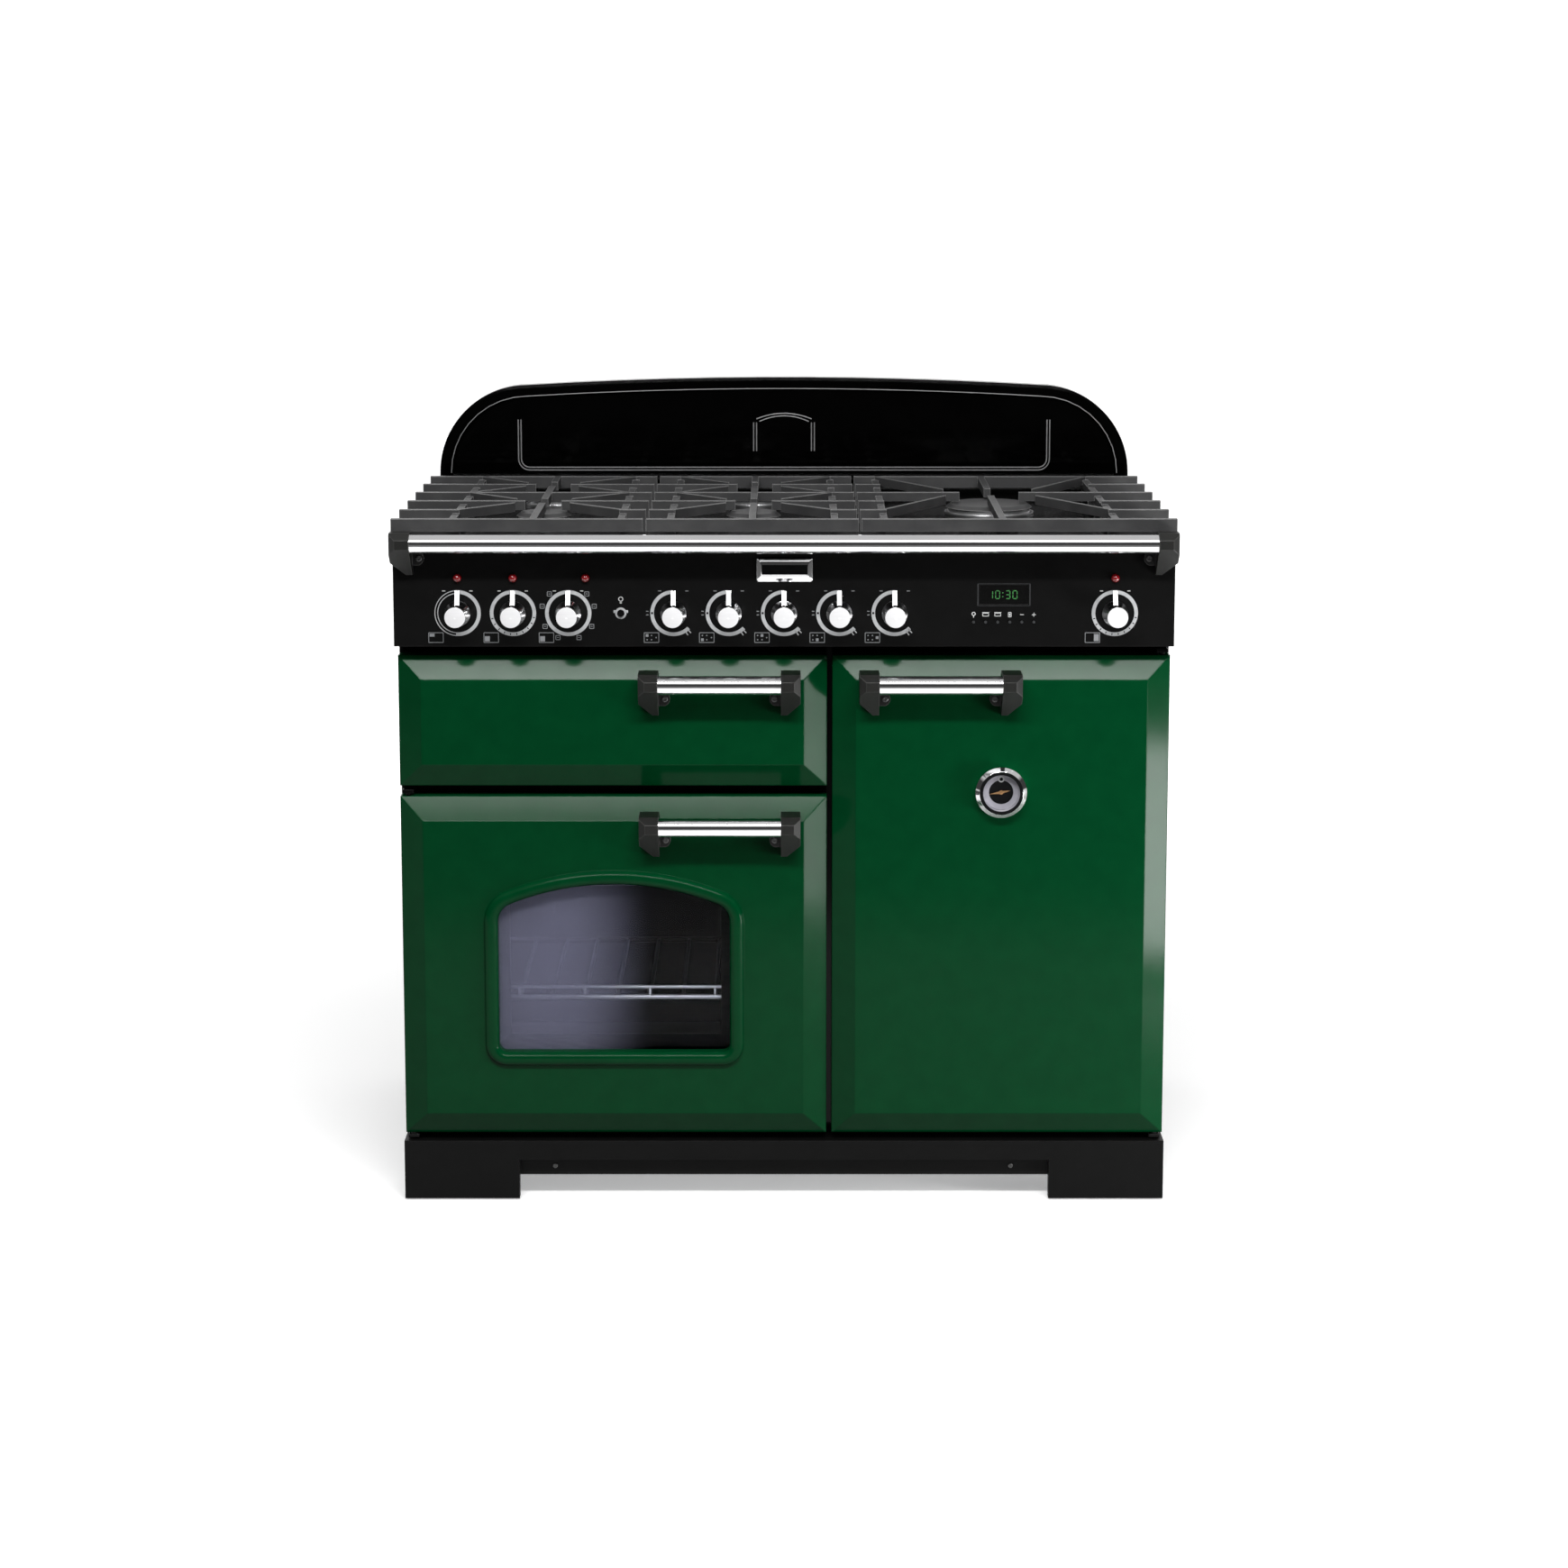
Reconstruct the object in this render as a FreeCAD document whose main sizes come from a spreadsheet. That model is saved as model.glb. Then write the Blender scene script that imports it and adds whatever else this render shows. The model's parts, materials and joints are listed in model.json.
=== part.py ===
"""A free-standing range cooker: three doors, a gas hob, a control panel and a splashback.

The frame has X to the right, Y to the back and Z up, with the origin on the floor under the
middle of the cooker. All lengths are in millimetres.
"""
import FreeCAD, Part
import math
import os
import Sketcher
from FreeCAD import Placement, Rotation, Vector

doc = FreeCAD.newDocument("range_cooker")
sheet = doc.addObject("Spreadsheet::Sheet", "Sizes")

# Driving dimensions: alias, value and meaning
DRIVING = (
    ("width", 992, "outside width of the cabinet"),
    ("overall_depth", 648, "from the front of the rail brackets to the back panel"),
    ("sheet_gauge", 1.5, "thickness of the sheet steel"),
    ("bar_diameter", 24, "diameter of the rail and the handle bars"),
    ("bracket_wall", 2, "metal round a bar in its bracket"),
    ("bracket_width", 25, "width of a bracket along its bar"),
    ("rail_stand", 36, "from the control panel to the middle of the rail"),
    ("handle_stand", 34, "from a door face to the middle of its handle bar"),
    ("handle_length", 206, "handle bar with its brackets"),
    ("handle_inset", 34, "from the opening edge of a door to its handle"),
    ("handle_drop", 31, "from the top of a door down to its handle bar"),
    ("door_setback", 8, "door faces behind the control panel"),
    ("bevel_depth", 16, "how far a door face stands out from its rim"),
    ("bevel_width", 30, "sloping border of a door face"),
    ("rim_depth", 22, "straight return behind the bevel"),
    ("door_thickness", 46, "door face to the back of its inner panel"),
    ("door_gap", 5, "inner panel to the front frame"),
    ("side_gap", 2, "door edge in from the cabinet side"),
    ("split_x", 58.5, "middle of the gap between left and right doors"),
    ("split_gap", 7, "gap between left and right doors"),
    ("plinth_height", 80, "floor to the top of the plinth"),
    ("plinth_gap", 10, "plinth to the bottom of the doors"),
    ("plinth_setback", 18, "plinth behind the control panel"),
    ("plinth_leg", 150, "width of each end leg of the plinth"),
    ("plinth_arch", 30, "height of the opening under the plinth"),
    ("main_door_height", 448, "main oven door"),
    ("door_spacing", 14, "main oven door to the grill door"),
    ("grill_door_height", 170, "grill door"),
    ("panel_gap", 15, "doors to the control panel"),
    ("panel_height", 135, "control panel"),
    ("hob_overhang", 18, "hob front lip ahead of the control panel"),
    ("lip_drop", 12, "depth of the hob's front lip"),
    ("frame_gauge", 2, "thickness of the front frame"),
    ("cavity_side", 36, "door edge to the cavity wall"),
    ("cavity_floor", 28, "door bottom to the cavity floor"),
    ("cavity_depth", 400, "depth of the ovens behind the front frame"),
    ("hinge_inset", 10, "side hinge pins in from the door edge"),
    ("hinge_depth", 7, "hinge pins behind the front of the rim"),
    ("grill_hinge_rise", 14, "grill hinge pins above the bottom of the door"),
    ("pin_radius", 3.5, "hinge pins"),
    ("running_gap", 0.05, "radial room round a turning or sliding piece"),
    ("window_half", 149.5, "half the width of the oven window"),
    ("window_bottom", 113, "bottom of the main door to its window"),
    ("window_crown", 112.5, "top of the main door down to the crown of the window"),
    ("window_arch", 355, "radius of the window's arched top"),
    ("window_shoulder", 26, "radius where the arch meets the sides"),
    ("window_corner", 10, "radius of the window's lower corners"),
    ("window_bead", 18, "width of the raised bead round the window"),
    ("bead_height", 8, "bead out from the door face"),
    ("bead_round", 7.4, "rounding of the bead's edges"),
    ("pane_gauge", 4, "thickness of the door glass"),
    ("knob_pitch", 70.2, "middle to middle of the knobs"),
    ("left_knob_inset", 81.7, "cabinet side to the first knob"),
    ("right_knob_inset", 76, "cabinet side to the last knob"),
    ("knob_height", 43, "bottom of the control panel to the knob shafts"),
    ("knob_proud", 41, "control panel to the front of a knob"),
    ("knob_radius", 13, "cap of a knob"),
    ("skirt_radius", 16.5, "skirt of a knob"),
    ("pointer_reach", 29, "shaft to the tip of the pointer"),
    ("shaft_radius", 5, "knob and fan shafts"),
    ("neon_height", 88, "bottom of the control panel to the neon lenses"),
    ("neon_radius", 5.5, "neon lens"),
    ("neon_shift", 22, "third neon lens beside the third knob"),
    ("light_radius", 4.5, "light button"),
    ("clock_inset", 217, "cabinet side to the middle of the clock"),
    ("clock_rise", 66.5, "bottom of the control panel to the middle of the clock window"),
    ("clock_width", 62, "clock window"),
    ("clock_tall", 24, "height of the clock window"),
    ("clock_button_rise", 31.5, "bottom of the control panel to the clock buttons"),
    ("clock_button_pitch", 15.3, "clock buttons, middle to middle"),
    ("clock_button_radius", 1.8, "clock button"),
    ("gauge_x", 278, "middle of the door gauge"),
    ("gauge_z", 548, "height of the door gauge"),
    ("gauge_radius", 33, "bezel of the door gauge"),
    ("gauge_proud", 16, "door face to the front of the bezel"),
    ("grate_height", 28.5, "hob surface to the top of the pan supports"),
    ("grate_pitch", 98, "crosswise bars, middle to middle"),
    ("grate_setback", 8, "hob lip to the middle of the front bar"),
    ("grate_split_left", -176, "gap between the left and centre pan supports"),
    ("grate_split_right", 96, "gap between the centre and right pan supports"),
    ("grate_gap", 4, "gap between pan supports"),
    ("bar_width", 9, "bars of the pan supports"),
    ("finger_height", 12, "depth of a pan support finger"),
    ("burner_left_x", -317, "left burners"),
    ("burner_centre_x", -40, "centre burners"),
    ("burner_right_x", 276, "right burner"),
    ("burner_radius", 38, "ordinary burner head"),
    ("wok_radius", 60, "right burner head"),
    ("splash_width", 984, "splashback"),
    ("splash_lift", 15, "hob to the bottom of the splashback"),
    ("splash_side", 8, "straight part of the splashback's sides"),
    ("splash_corner", 126, "radius of the splashback's corners"),
    ("splash_rim", 16, "width of the raised rim round the splashback"),
    ("splash_recess", 5, "depth of the splashback's face behind its rim"),
    ("splash_crown", 11, "rise of the splashback's top edge"),
    ("splash_depth", 24, "splashback, front to back"),
    ("inlet_inset", 56, "cabinet side to the gas inlet"),
    ("inlet_rise", 20, "gas pipe above the knob shafts"),
    ("inlet_radius", 16, "outside of the gas inlet"),
    ("inlet_bore", 9.3, "bore of the gas inlet"),
    ("cable_inset", 156, "cabinet side to the cable entry"),
    ("cable_radius", 10, "cable entry"),
    ("stay_spacing", 120, "between the two stay holes in the back"),
    ("stay_radius", 3, "stay holes"),
    ("inlet_room", 20, "open corner of the back panel round the gas inlet"),
    ("inlet_setback", 2, "gas inlet in from the back"),
    ("inlet_length", 40, "body of the gas inlet"),
    ("thread_length", 18, "thread in the gas inlet"),
    ("pipe_radius", 8, "gas pipes"),
    ("elbow_half", 12, "half the block where the gas pipes meet"),
    ("tap_half", 14, "half the width of a gas tap"),
    ("tap_depth", 42, "control panel to the middle of the gas pipe"),
    ("stay_drop", 32, "hob down to the stay holes"),
    ("foot_inset", 70, "levelling feet in from the cabinet's edges"),
    ("foot_pad", 10, "thickness of a foot's pad"),
    ("stud_radius", 6, "stud of a levelling foot"),
    ("floor_gap", 2, "plinth legs off the floor"),
    ("plinth_step", 14, "middle strip of the plinth behind its front"),
    ("plinth_front", 26, "height of the plinth's front above its middle strip"),
    ("baffle_gap", 42, "fan baffle to the rear wall"),
    ("baffle_half", 105, "half the width of a fan baffle"),
    ("post_inset", 8, "baffle posts in from its edges"),
    ("post_radius", 4, "baffle posts"),
    ("runner_width", 10, "shelf runners out from the oven walls"),
    ("runner_start", 20, "oven mouth to the shelf runners"),
    ("runner_stop", 10, "shelf runners to the baffle"),
    ("shelf_start", 30, "oven mouth to the shelves"),
    ("shelf_stop", 20, "shelves to the baffle"),
    ("shelf_room", 2, "shelf to the oven wall"),
    ("shelf_rail_radius", 4, "front and rear rails of a shelf"),
    ("guard_rise", 14, "upper front wire of a shelf above its rail"),
    ("main_shelf_rise", 132, "main oven floor to its shelf"),
    ("fan_rise", 118, "main oven shelf to the fan"),
    ("tall_shelf_rise", 150, "tall oven floor to its lower shelf"),
    ("tall_shelf_step", 200, "between the shelves of the tall oven"),
    ("grill_shelf_rise", 26, "grill floor to the pan's runners"),
    ("pan_height", 34, "grill pan"),
    ("pan_gauge", 2, "wall of the grill pan"),
    ("fan_setback", 8, "fan to the rear wall"),
    ("fan_length", 22, "fan blades, front to back"),
    ("hub_radius", 13, "hub of a fan"),
    ("blade_gauge", 2, "thickness of a fan blade"),
    ("shaft_tail", 12, "fan shaft behind the rear wall"),
    ("shaft_room", 0.5, "room round a shaft in its housing"),
    ("end_room", 2, "room past the end of a shaft"),
    ("motor_half", 36, "half the width of a fan motor"),
    ("motor_length", 46, "fan motor, front to back"),
    ("ring_margin", 18, "fan blades to the ring element"),
    ("tail_radius", 2.8, "tails of a ring element"),
    ("grill_drop", 18, "grill roof to the element"),
    ("grill_start", 70, "grill mouth to the element's runs"),
    ("grill_stop", 110, "grill element's bends to the rear wall"),
    ("tray_setback", 4, "inner panel's edge behind the front of the rim"),
    ("hinge_block_gap", 0.1, "hinge block behind the door's rim"),
    ("hinge_block_back", 8, "hinge pin to the back of its block"),
    ("hinge_block_half", 7, "half the width of a hinge block"),
    ("hinge_block_height", 20, "hinge block along its pin"),
    ("pin_hole_room", 1.5, "room round a hinge pin in the door's edge"),
    ("pin_reach", 18, "hinge pin into the door"),
    ("lug_gap", 3, "hinge plate to the door's edge"),
    ("lug_gauge", 5, "thickness of a hinge plate"),
    ("lug_reach", 5, "hinge plate ahead of its pin"),
    ("arm_half", 5, "half the width of a grill hinge arm"),
    ("arm_inset", 60, "door edge to a grill hinge arm"),
    ("arm_boss_radius", 4, "boss of a grill hinge arm"),
    ("grill_pin_radius", 3, "pins of the grill hinge"),
    ("grill_block_width", 14, "bored block beside a grill hinge arm"),
    ("notch_half", 7, "half the notch for a grill hinge arm"),
    ("notch_gap", 1.5, "notch round a grill hinge arm"),
    ("seal_width", 5, "door seals"),
    ("seal_gap", 0.3, "door seal to the inner panel"),
    ("bead_depth", 12, "door face back to the front pane"),
    ("glass_border", 12, "panes past the window's edge"),
    ("rail_rise", 1, "middle of the rail above the underside of the hob"),
    ("rail_bracket_width", 26, "width of a rail bracket along the rail"),
    ("lip_room", 1, "rail bracket to the hob's front lip"),
    ("end_wall", 11, "bracket metal over the end of a bar"),
    ("bar_round", 1.5, "rounded end of a bar"),
    ("facet_top", 3, "bracket's crest ahead of the bar's middle"),
    ("facet_front", 6, "half the flat front of a bracket"),
    ("stem_length", 31, "bracket stem below the bar"),
    ("stem_gauge", 9, "bracket stem at its foot"),
    ("stem_tip", 6, "width of the stem at its foot"),
    ("taper_rise", 20, "height of the stem's taper"),
    ("corner_cut", 10, "bevel on a bracket's outer front corner"),
    ("lobe_reach", 8, "bracket's inner side to its screw"),
    ("lobe_drop", 10, "bar down to the bracket's screw"),
    ("lobe_radius", 9, "screw lug of a bracket"),
    ("lobe_gauge", 7, "thickness of a screw lug"),
    ("screw_radius", 2.6, "screw hole of a bracket"),
    ("clock_border", 12, "clock case past its window"),
    ("lens_room", 0.2, "room round the clock's lens"),
    ("lens_setback", 0.4, "clock lens behind the panel's face"),
    ("switch_depth", 30, "switches and clock behind the panel"),
    ("switch_half", 20, "half the width of a switch"),
    ("button_room", 8, "panel to the clock's button board"),
    ("button_tail", 4.5, "clock button behind the panel"),
    ("clock_button_proud", 2, "clock button ahead of the panel"),
    ("light_proud", 4, "light button ahead of the panel"),
    ("light_tail", 6.5, "light button behind the panel"),
    ("shaft_inner", 16, "knob shaft behind the panel's face"),
    ("knob_gap", 2, "knob skirt off the panel"),
    ("knob_dome", 0.8, "rise of a knob's front"),
    ("waist_radius", 9.4, "waist of a knob"),
    ("skirt_edge", 3, "edge of a knob's skirt"),
    ("skirt_rise", 9, "slope from a knob's skirt to its waist"),
    ("cap_depth", 10, "knob cap from its front rim to the waist"),
    ("cap_edge", 4, "straight edge of a knob's cap"),
    ("pointer_width", 6, "pointer bar of a knob"),
    ("pointer_gap", 2.5, "pointer off the panel"),
    ("pointer_root", 11.5, "thickness of a pointer at the shaft"),
    ("pointer_tip", 1.2, "thickness of a pointer at its tip"),
    ("neon_depth", 9, "neon lens behind the panel's face"),
    ("neon_flange", 2, "flange behind a neon lens"),
    ("neon_collar", 1.5, "straight edge of a neon lens"),
    ("bezel_width", 10, "ring of the gauge's bezel"),
    ("bezel_lip", 2, "sloping inner edge of the bezel"),
    ("dial_depth", 9, "front of the bezel to the dial"),
    ("needle_gap", 1, "needle ahead of the dial"),
    ("needle_long", 15.2, "long end of the needle"),
    ("needle_short", 11.9, "short end of the needle"),
    ("needle_width", 3.6, "needle at its hub"),
    ("needle_gauge", 0.8, "thickness of the needle"),
    ("needle_hub_radius", 2.6, "hub of the needle"),
    ("needle_pin_radius", 1, "pin of the needle"),
    ("needle_pin_length", 5, "pin of the needle behind its blade"),
    ("upstand_inset", 20, "hob upstand in from the cabinet's side"),
    ("splash_setback", 2, "splashback in from the back"),
    ("spigot_radius", 18, "burner spigot"),
    ("spigot_length", 14, "burner spigot under the hob's surface"),
    ("flange_gauge", 3, "flange of a burner head"),
    ("crown_height", 6, "burner head above its flange"),
    ("burner_step", 5, "burner head in from its flange"),
    ("cap_overhang", 3, "burner cap past its head"),
    ("cap_height", 5, "burner cap"),
    ("grate_frame", 16, "depth of a pan support's outer bars"),
    ("grate_side_drop", 5, "side bars below the top of a pan support"),
    ("grate_outer_leg", 78, "outer legs of the pan supports"),
    ("grate_inner_leg", 34, "inner legs of the pan supports"),
    ("burner_space", 24, "fingers to the middle of an ordinary burner"),
    ("wok_space", 40, "fingers to the middle of the right burner"),
    ("foot_height", 60, "floor to the base tray"),
    ("foot_radius", 22, "pad of a levelling foot"),
    ("fan_radius", 60, "tips of the fan blades"),
    ("element_radius", 4, "heating element tube"),
    ("wire_radius", 2.5, "wires of the shelves"),
)


class Size:
    """A length that carries both its value and the sheet expression that gives it."""

    def __init__(self, text, value):
        self.text = text
        self.value = value

    def __add__(self, other):
        other = as_size(other)
        return Size("(%s + %s)" % (self.text, other.text), self.value + other.value)

    def __sub__(self, other):
        other = as_size(other)
        return Size("(%s - %s)" % (self.text, other.text), self.value - other.value)

    def __mul__(self, other):
        other = as_size(other)
        return Size("(%s * %s)" % (self.text, other.text), self.value * other.value)

    def __truediv__(self, other):
        other = as_size(other)
        return Size("(%s / %s)" % (self.text, other.text), self.value / other.value)

    def __neg__(self):
        return Size("(-1 * %s)" % self.text, -self.value)

    def __radd__(self, other):
        return as_size(other) + self

    def __rsub__(self, other):
        return as_size(other) - self

    def __rmul__(self, other):
        return as_size(other) * self


def as_size(number):
    """A plain number becomes a Size; a Size stays as it is."""
    if isinstance(number, Size):
        return number
    return Size("(%r)" % float(number), float(number))


def root(size):
    """Square root of a Size."""
    return Size("sqrt(%s)" % size.text, math.sqrt(size.value))


class Driving:
    """The driving dimensions, one attribute for each alias."""


d = Driving()
for row, (alias, value, meaning) in enumerate(DRIVING, start=1):
    sheet.set("A%d" % row, str(value))
    sheet.setAlias("A%d" % row, alias)
    sheet.set("B%d" % row, meaning)
    setattr(d, alias, Size("Sizes." + alias, float(value)))
doc.recompute()

TURN = {
    "x": Rotation(Vector(0, 1, 0), 90),
    "y": Rotation(Vector(1, 0, 0), -90),
    "z": Rotation(),
}
UPRIGHT = Rotation(Vector(1, 0, 0), 90)
CUT_MARGIN = 2
ARC_EASE = 1.05
NEEDLE_TILT = 10
SLANT_END_X = 1.5
SLANT_END_Y = 0.9


def bind(thing, field, size):
    """Tie one property to its expression."""
    thing.setExpression(field, as_size(size).text)


def place(thing, x, y, z):
    """Tie a thing's position to three expressions."""
    for axis, size in zip("xyz", (x, y, z)):
        bind(thing, "Placement.Base." + axis, size)


def block(name, x, y, z):
    """A box between the low and high limits in x, y and z."""
    thing = doc.addObject("Part::Box", name)
    for field, (low, high) in zip(("Length", "Width", "Height"), (x, y, z)):
        bind(thing, field, as_size(high) - low)
    place(thing, x[0], y[0], z[0])
    return thing


def rod(name, axis, radius, start, length):
    """A cylinder that runs from start along +x, +y or +z."""
    thing = doc.addObject("Part::Cylinder", name)
    thing.Placement = Placement(Vector(), TURN[axis])
    bind(thing, "Radius", radius)
    bind(thing, "Height", length)
    place(thing, *start)
    return thing


def frustum(name, y, x_front, z_front, x_back, z_back):
    """A block whose front outline differs from its back outline."""
    thing = doc.addObject("Part::Wedge", name)
    limits = dict(
        Ymin=y[0], Ymax=y[1],
        Xmin=x_front[0], Xmax=x_front[1], Zmin=z_front[0], Zmax=z_front[1],
        X2min=x_back[0], X2max=x_back[1], Z2min=z_back[0], Z2max=z_back[1],
    )
    for field, size in limits.items():
        bind(thing, field, size)
    return thing


def fuse(name, shapes):
    """One solid from several that overlap or touch."""
    thing = doc.addObject("Part::MultiFuse", name)
    thing.Shapes = shapes
    thing.Refine = True
    return thing


def cut(name, base, tools):
    """A base with the tools taken away."""
    thing = doc.addObject("Part::Cut", name)
    thing.Base = base
    thing.Tool = tools[0] if len(tools) == 1 else fuse(name + "_tools", tools)
    return thing


def group(name, members):
    """Several solids that stay separate in one node."""
    thing = doc.addObject("Part::Compound", name)
    thing.Links = members
    return thing


def mirror(name, source, x):
    """A copy mirrored about the upright plane at x."""
    thing = doc.addObject("Part::Mirroring", name)
    thing.Source = source
    thing.Normal = Vector(1, 0, 0)
    bind(thing, "Base.x", x)
    return thing


def inset(limits, amount):
    """Limits drawn in at both ends."""
    return limits[0] + amount, limits[1] - amount


def around(middle, reach):
    """Limits the same distance either side of a middle."""
    return middle - reach, middle + reach


def draw(sketch, corners):
    """Draw a closed outline. A corner is (u, v), or (u, v, radius) where an anticlockwise arc
    leads to the next corner, or (u, v, -radius) for a clockwise one."""
    corners = [tuple(as_size(part) for part in corner) for corner in corners]
    ends = []
    for here, there in zip(corners, corners[1:] + corners[:1]):
        start = Vector(here[0].value, here[1].value, 0)
        stop = Vector(there[0].value, there[1].value, 0)
        if len(here) == 2:
            index = sketch.addGeometry(Part.LineSegment(start, stop))
            ends.append((index, 1, 2))
            continue
        radius = abs(here[2].value)
        forward = here[2].value > 0
        begin, finish = (start, stop) if forward else (stop, start)
        chord = finish - begin
        offset = math.sqrt(max(radius * radius - chord.Length ** 2 / 4, 0))
        normal = Vector(-chord.y, chord.x, 0).normalize()
        centre = (begin + finish) * 0.5 + normal * offset
        angles = [math.atan2(p.y - centre.y, p.x - centre.x) for p in (begin, finish)]
        if angles[1] <= angles[0]:
            angles[1] += 2 * math.pi
        circle = Part.Circle(centre, Vector(0, 0, 1), radius)
        index = sketch.addGeometry(Part.ArcOfCircle(circle, *angles))
        ends.append((index, 1, 2) if forward else (index, 2, 1))
        number = sketch.addConstraint(Sketcher.Constraint("Radius", index, radius))
        bind(sketch, "Constraints[%d]" % number, here[2] if forward else -here[2])
    for (index, _, stop), (following, start, _) in zip(ends, ends[1:] + ends[:1]):
        sketch.addConstraint(Sketcher.Constraint("Coincident", index, stop, following, start))
    for (index, start, _), corner in zip(ends, corners):
        for kind, size in zip(("DistanceX", "DistanceY"), corner):
            number = sketch.addConstraint(Sketcher.Constraint(kind, index, start, size.value))
            bind(sketch, "Constraints[%d]" % number, size)


def ring(sketch, u, v, radius):
    """Draw a circle."""
    centre = Vector(as_size(u).value, as_size(v).value, 0)
    circle = Part.Circle(centre, Vector(0, 0, 1), as_size(radius).value)
    index = sketch.addGeometry(circle)
    number = sketch.addConstraint(Sketcher.Constraint("Radius", index, circle.Radius))
    bind(sketch, "Constraints[%d]" % number, radius)
    for kind, size in zip(("DistanceX", "DistanceY"), (u, v)):
        value = as_size(size).value
        number = sketch.addConstraint(Sketcher.Constraint(kind, index, 3, value))
        bind(sketch, "Constraints[%d]" % number, size)


def plate(name, outlines, start, length, upright=True):
    """Outlines drawn in x and z and drawn out along +y, or drawn in x and y and raised along +z."""
    sketch = doc.addObject("Sketcher::SketchObject", name + "_outline")
    for outline in outlines:
        draw(sketch, outline)
    sketch.Placement = Placement(Vector(), UPRIGHT if upright else Rotation())
    bind(sketch, "Placement.Base.y" if upright else "Placement.Base.z", start)
    thing = doc.addObject("Part::Extrusion", name)
    thing.Base = sketch
    thing.DirMode = "Custom"
    thing.Dir = Vector(0, 1, 0) if upright else Vector(0, 0, 1)
    thing.Solid = True
    bind(thing, "LengthFwd", length)
    return thing


def new_body(name, x=0, y=0, z=0):
    """An empty body at its place."""
    body = doc.addObject("PartDesign::Body", name)
    place(body, x, y, z)
    return body


def sketch_in(body, name, plane):
    """An empty sketch on one of a body's own origin planes."""
    sketch = body.newObject("Sketcher::SketchObject", name)
    support = [feature for feature in body.Origin.OriginFeatures if feature.Role == plane]
    sketch.AttachmentSupport = [(support[0], "")]
    sketch.MapMode = "FlatFace"
    return sketch


def pad(body, sketch, length, backwards=False):
    """Draw a sketch out from its plane."""
    feature = body.newObject("PartDesign::Pad", sketch.Name + "_pad")
    feature.Profile = sketch
    feature.Reversed = backwards
    bind(feature, "Length", length)
    return feature


def bore(body, sketch):
    """Cut a sketch right through, both ways."""
    feature = body.newObject("PartDesign::Pocket", sketch.Name + "_cut")
    feature.Profile = sketch
    feature.Type = "ThroughAll"
    feature.Midplane = True
    return feature


def turn(body, sketch, axis):
    """Spin a sketch a full turn about its own V_Axis or H_Axis."""
    feature = body.newObject("PartDesign::Revolution", sketch.Name + "_turned")
    feature.Profile = sketch
    feature.ReferenceAxis = (sketch, [axis])
    feature.Angle = 360
    return feature


# Places worked out from the driving dimensions
gauge = d.sheet_gauge
half = d.width / 2
sides = (-half, half)
back_y = d.overall_depth / 2
bar_radius = d.bar_diameter / 2
rail_y = bar_radius + d.bracket_wall - back_y
panel_y = rail_y + d.rail_stand
face_y = panel_y + d.door_setback
rim_y = face_y + d.bevel_depth
rim_back_y = rim_y + d.rim_depth
inner_y = face_y + d.door_thickness
frame_y = inner_y + d.door_gap
liner_y = frame_y + d.frame_gauge
rear_y = liner_y + d.cavity_depth
plinth_y = panel_y + d.plinth_setback
lip_y = panel_y - d.hob_overhang
hinge_y = rim_y + d.hinge_depth

door_bottom = d.plinth_height + d.plinth_gap
main_top = door_bottom + d.main_door_height
grill_bottom = main_top + d.door_spacing
door_top = grill_bottom + d.grill_door_height
panel_bottom = door_top + d.panel_gap
hob_under = panel_bottom + d.panel_height
hob_top = hob_under + gauge
grate_top = hob_top + d.grate_height
splash_bottom = hob_top + d.splash_lift
base_top = d.foot_height + d.frame_gauge

left_x = (d.side_gap - half, d.split_x - d.split_gap / 2)
right_x = (d.split_x + d.split_gap / 2, half - d.side_gap)
main_z = (door_bottom, main_top)
grill_z = (grill_bottom, door_top)
tall_z = (door_bottom, door_top)
left_cavity_x = inset(left_x, d.cavity_side)
right_cavity_x = inset(right_x, d.cavity_side)
main_cavity_z = inset(main_z, d.cavity_floor)
grill_cavity_z = inset(grill_z, d.cavity_floor)
tall_cavity_z = inset(tall_z, d.cavity_floor)
left_pin_x = left_x[0] + d.hinge_inset
right_pin_x = right_x[1] - d.hinge_inset
grill_pin_z = grill_bottom + d.grill_hinge_rise

knob_z = panel_bottom + d.knob_height
neon_z = panel_bottom + d.neon_height
first_knob_x = d.left_knob_inset - half
third_knob_x = first_knob_x + d.knob_pitch * 2
last_knob_x = half - d.right_knob_inset
clock_z = panel_bottom + d.clock_rise
clock_button_z = panel_bottom + d.clock_button_rise
HOB_KNOBS = 5
CLOCK_BUTTONS = 6
hob_knob_x = [d.knob_pitch * (number - 2) for number in range(HOB_KNOBS)]
light_x = (third_knob_x + hob_knob_x[0]) / 2
clock_x = half - d.clock_inset
clock_button_x = [
    clock_x + d.clock_button_pitch * (number - 2.5) for number in range(CLOCK_BUTTONS)
]
KNOB_X = {
    "knob_grill": first_knob_x,
    "knob_main_temperature": first_knob_x + d.knob_pitch,
    "knob_main_mode": third_knob_x,
    "knob_tall_temperature": last_knob_x,
}
for number, x in enumerate(hob_knob_x, start=1):
    KNOB_X["knob_hob_%d" % number] = x
neon_x = (first_knob_x, first_knob_x + d.knob_pitch, third_knob_x + d.neon_shift, last_knob_x)

grate_front_y = lip_y + d.grate_setback
grate_bar_y = [grate_front_y + d.grate_pitch * number for number in range(6)]
front_bar_y, first_bar_y, front_burner_y, middle_bar_y, rear_burner_y, rear_bar_y = grate_bar_y
inlet_x = half - d.inlet_inset
inlet_z = knob_z + d.inlet_rise

nodes = {}


def node(name, thing):
    """Name a finished sub-part; its file takes the same name."""
    thing.Label = name
    nodes[name] = thing
    return thing


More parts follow.
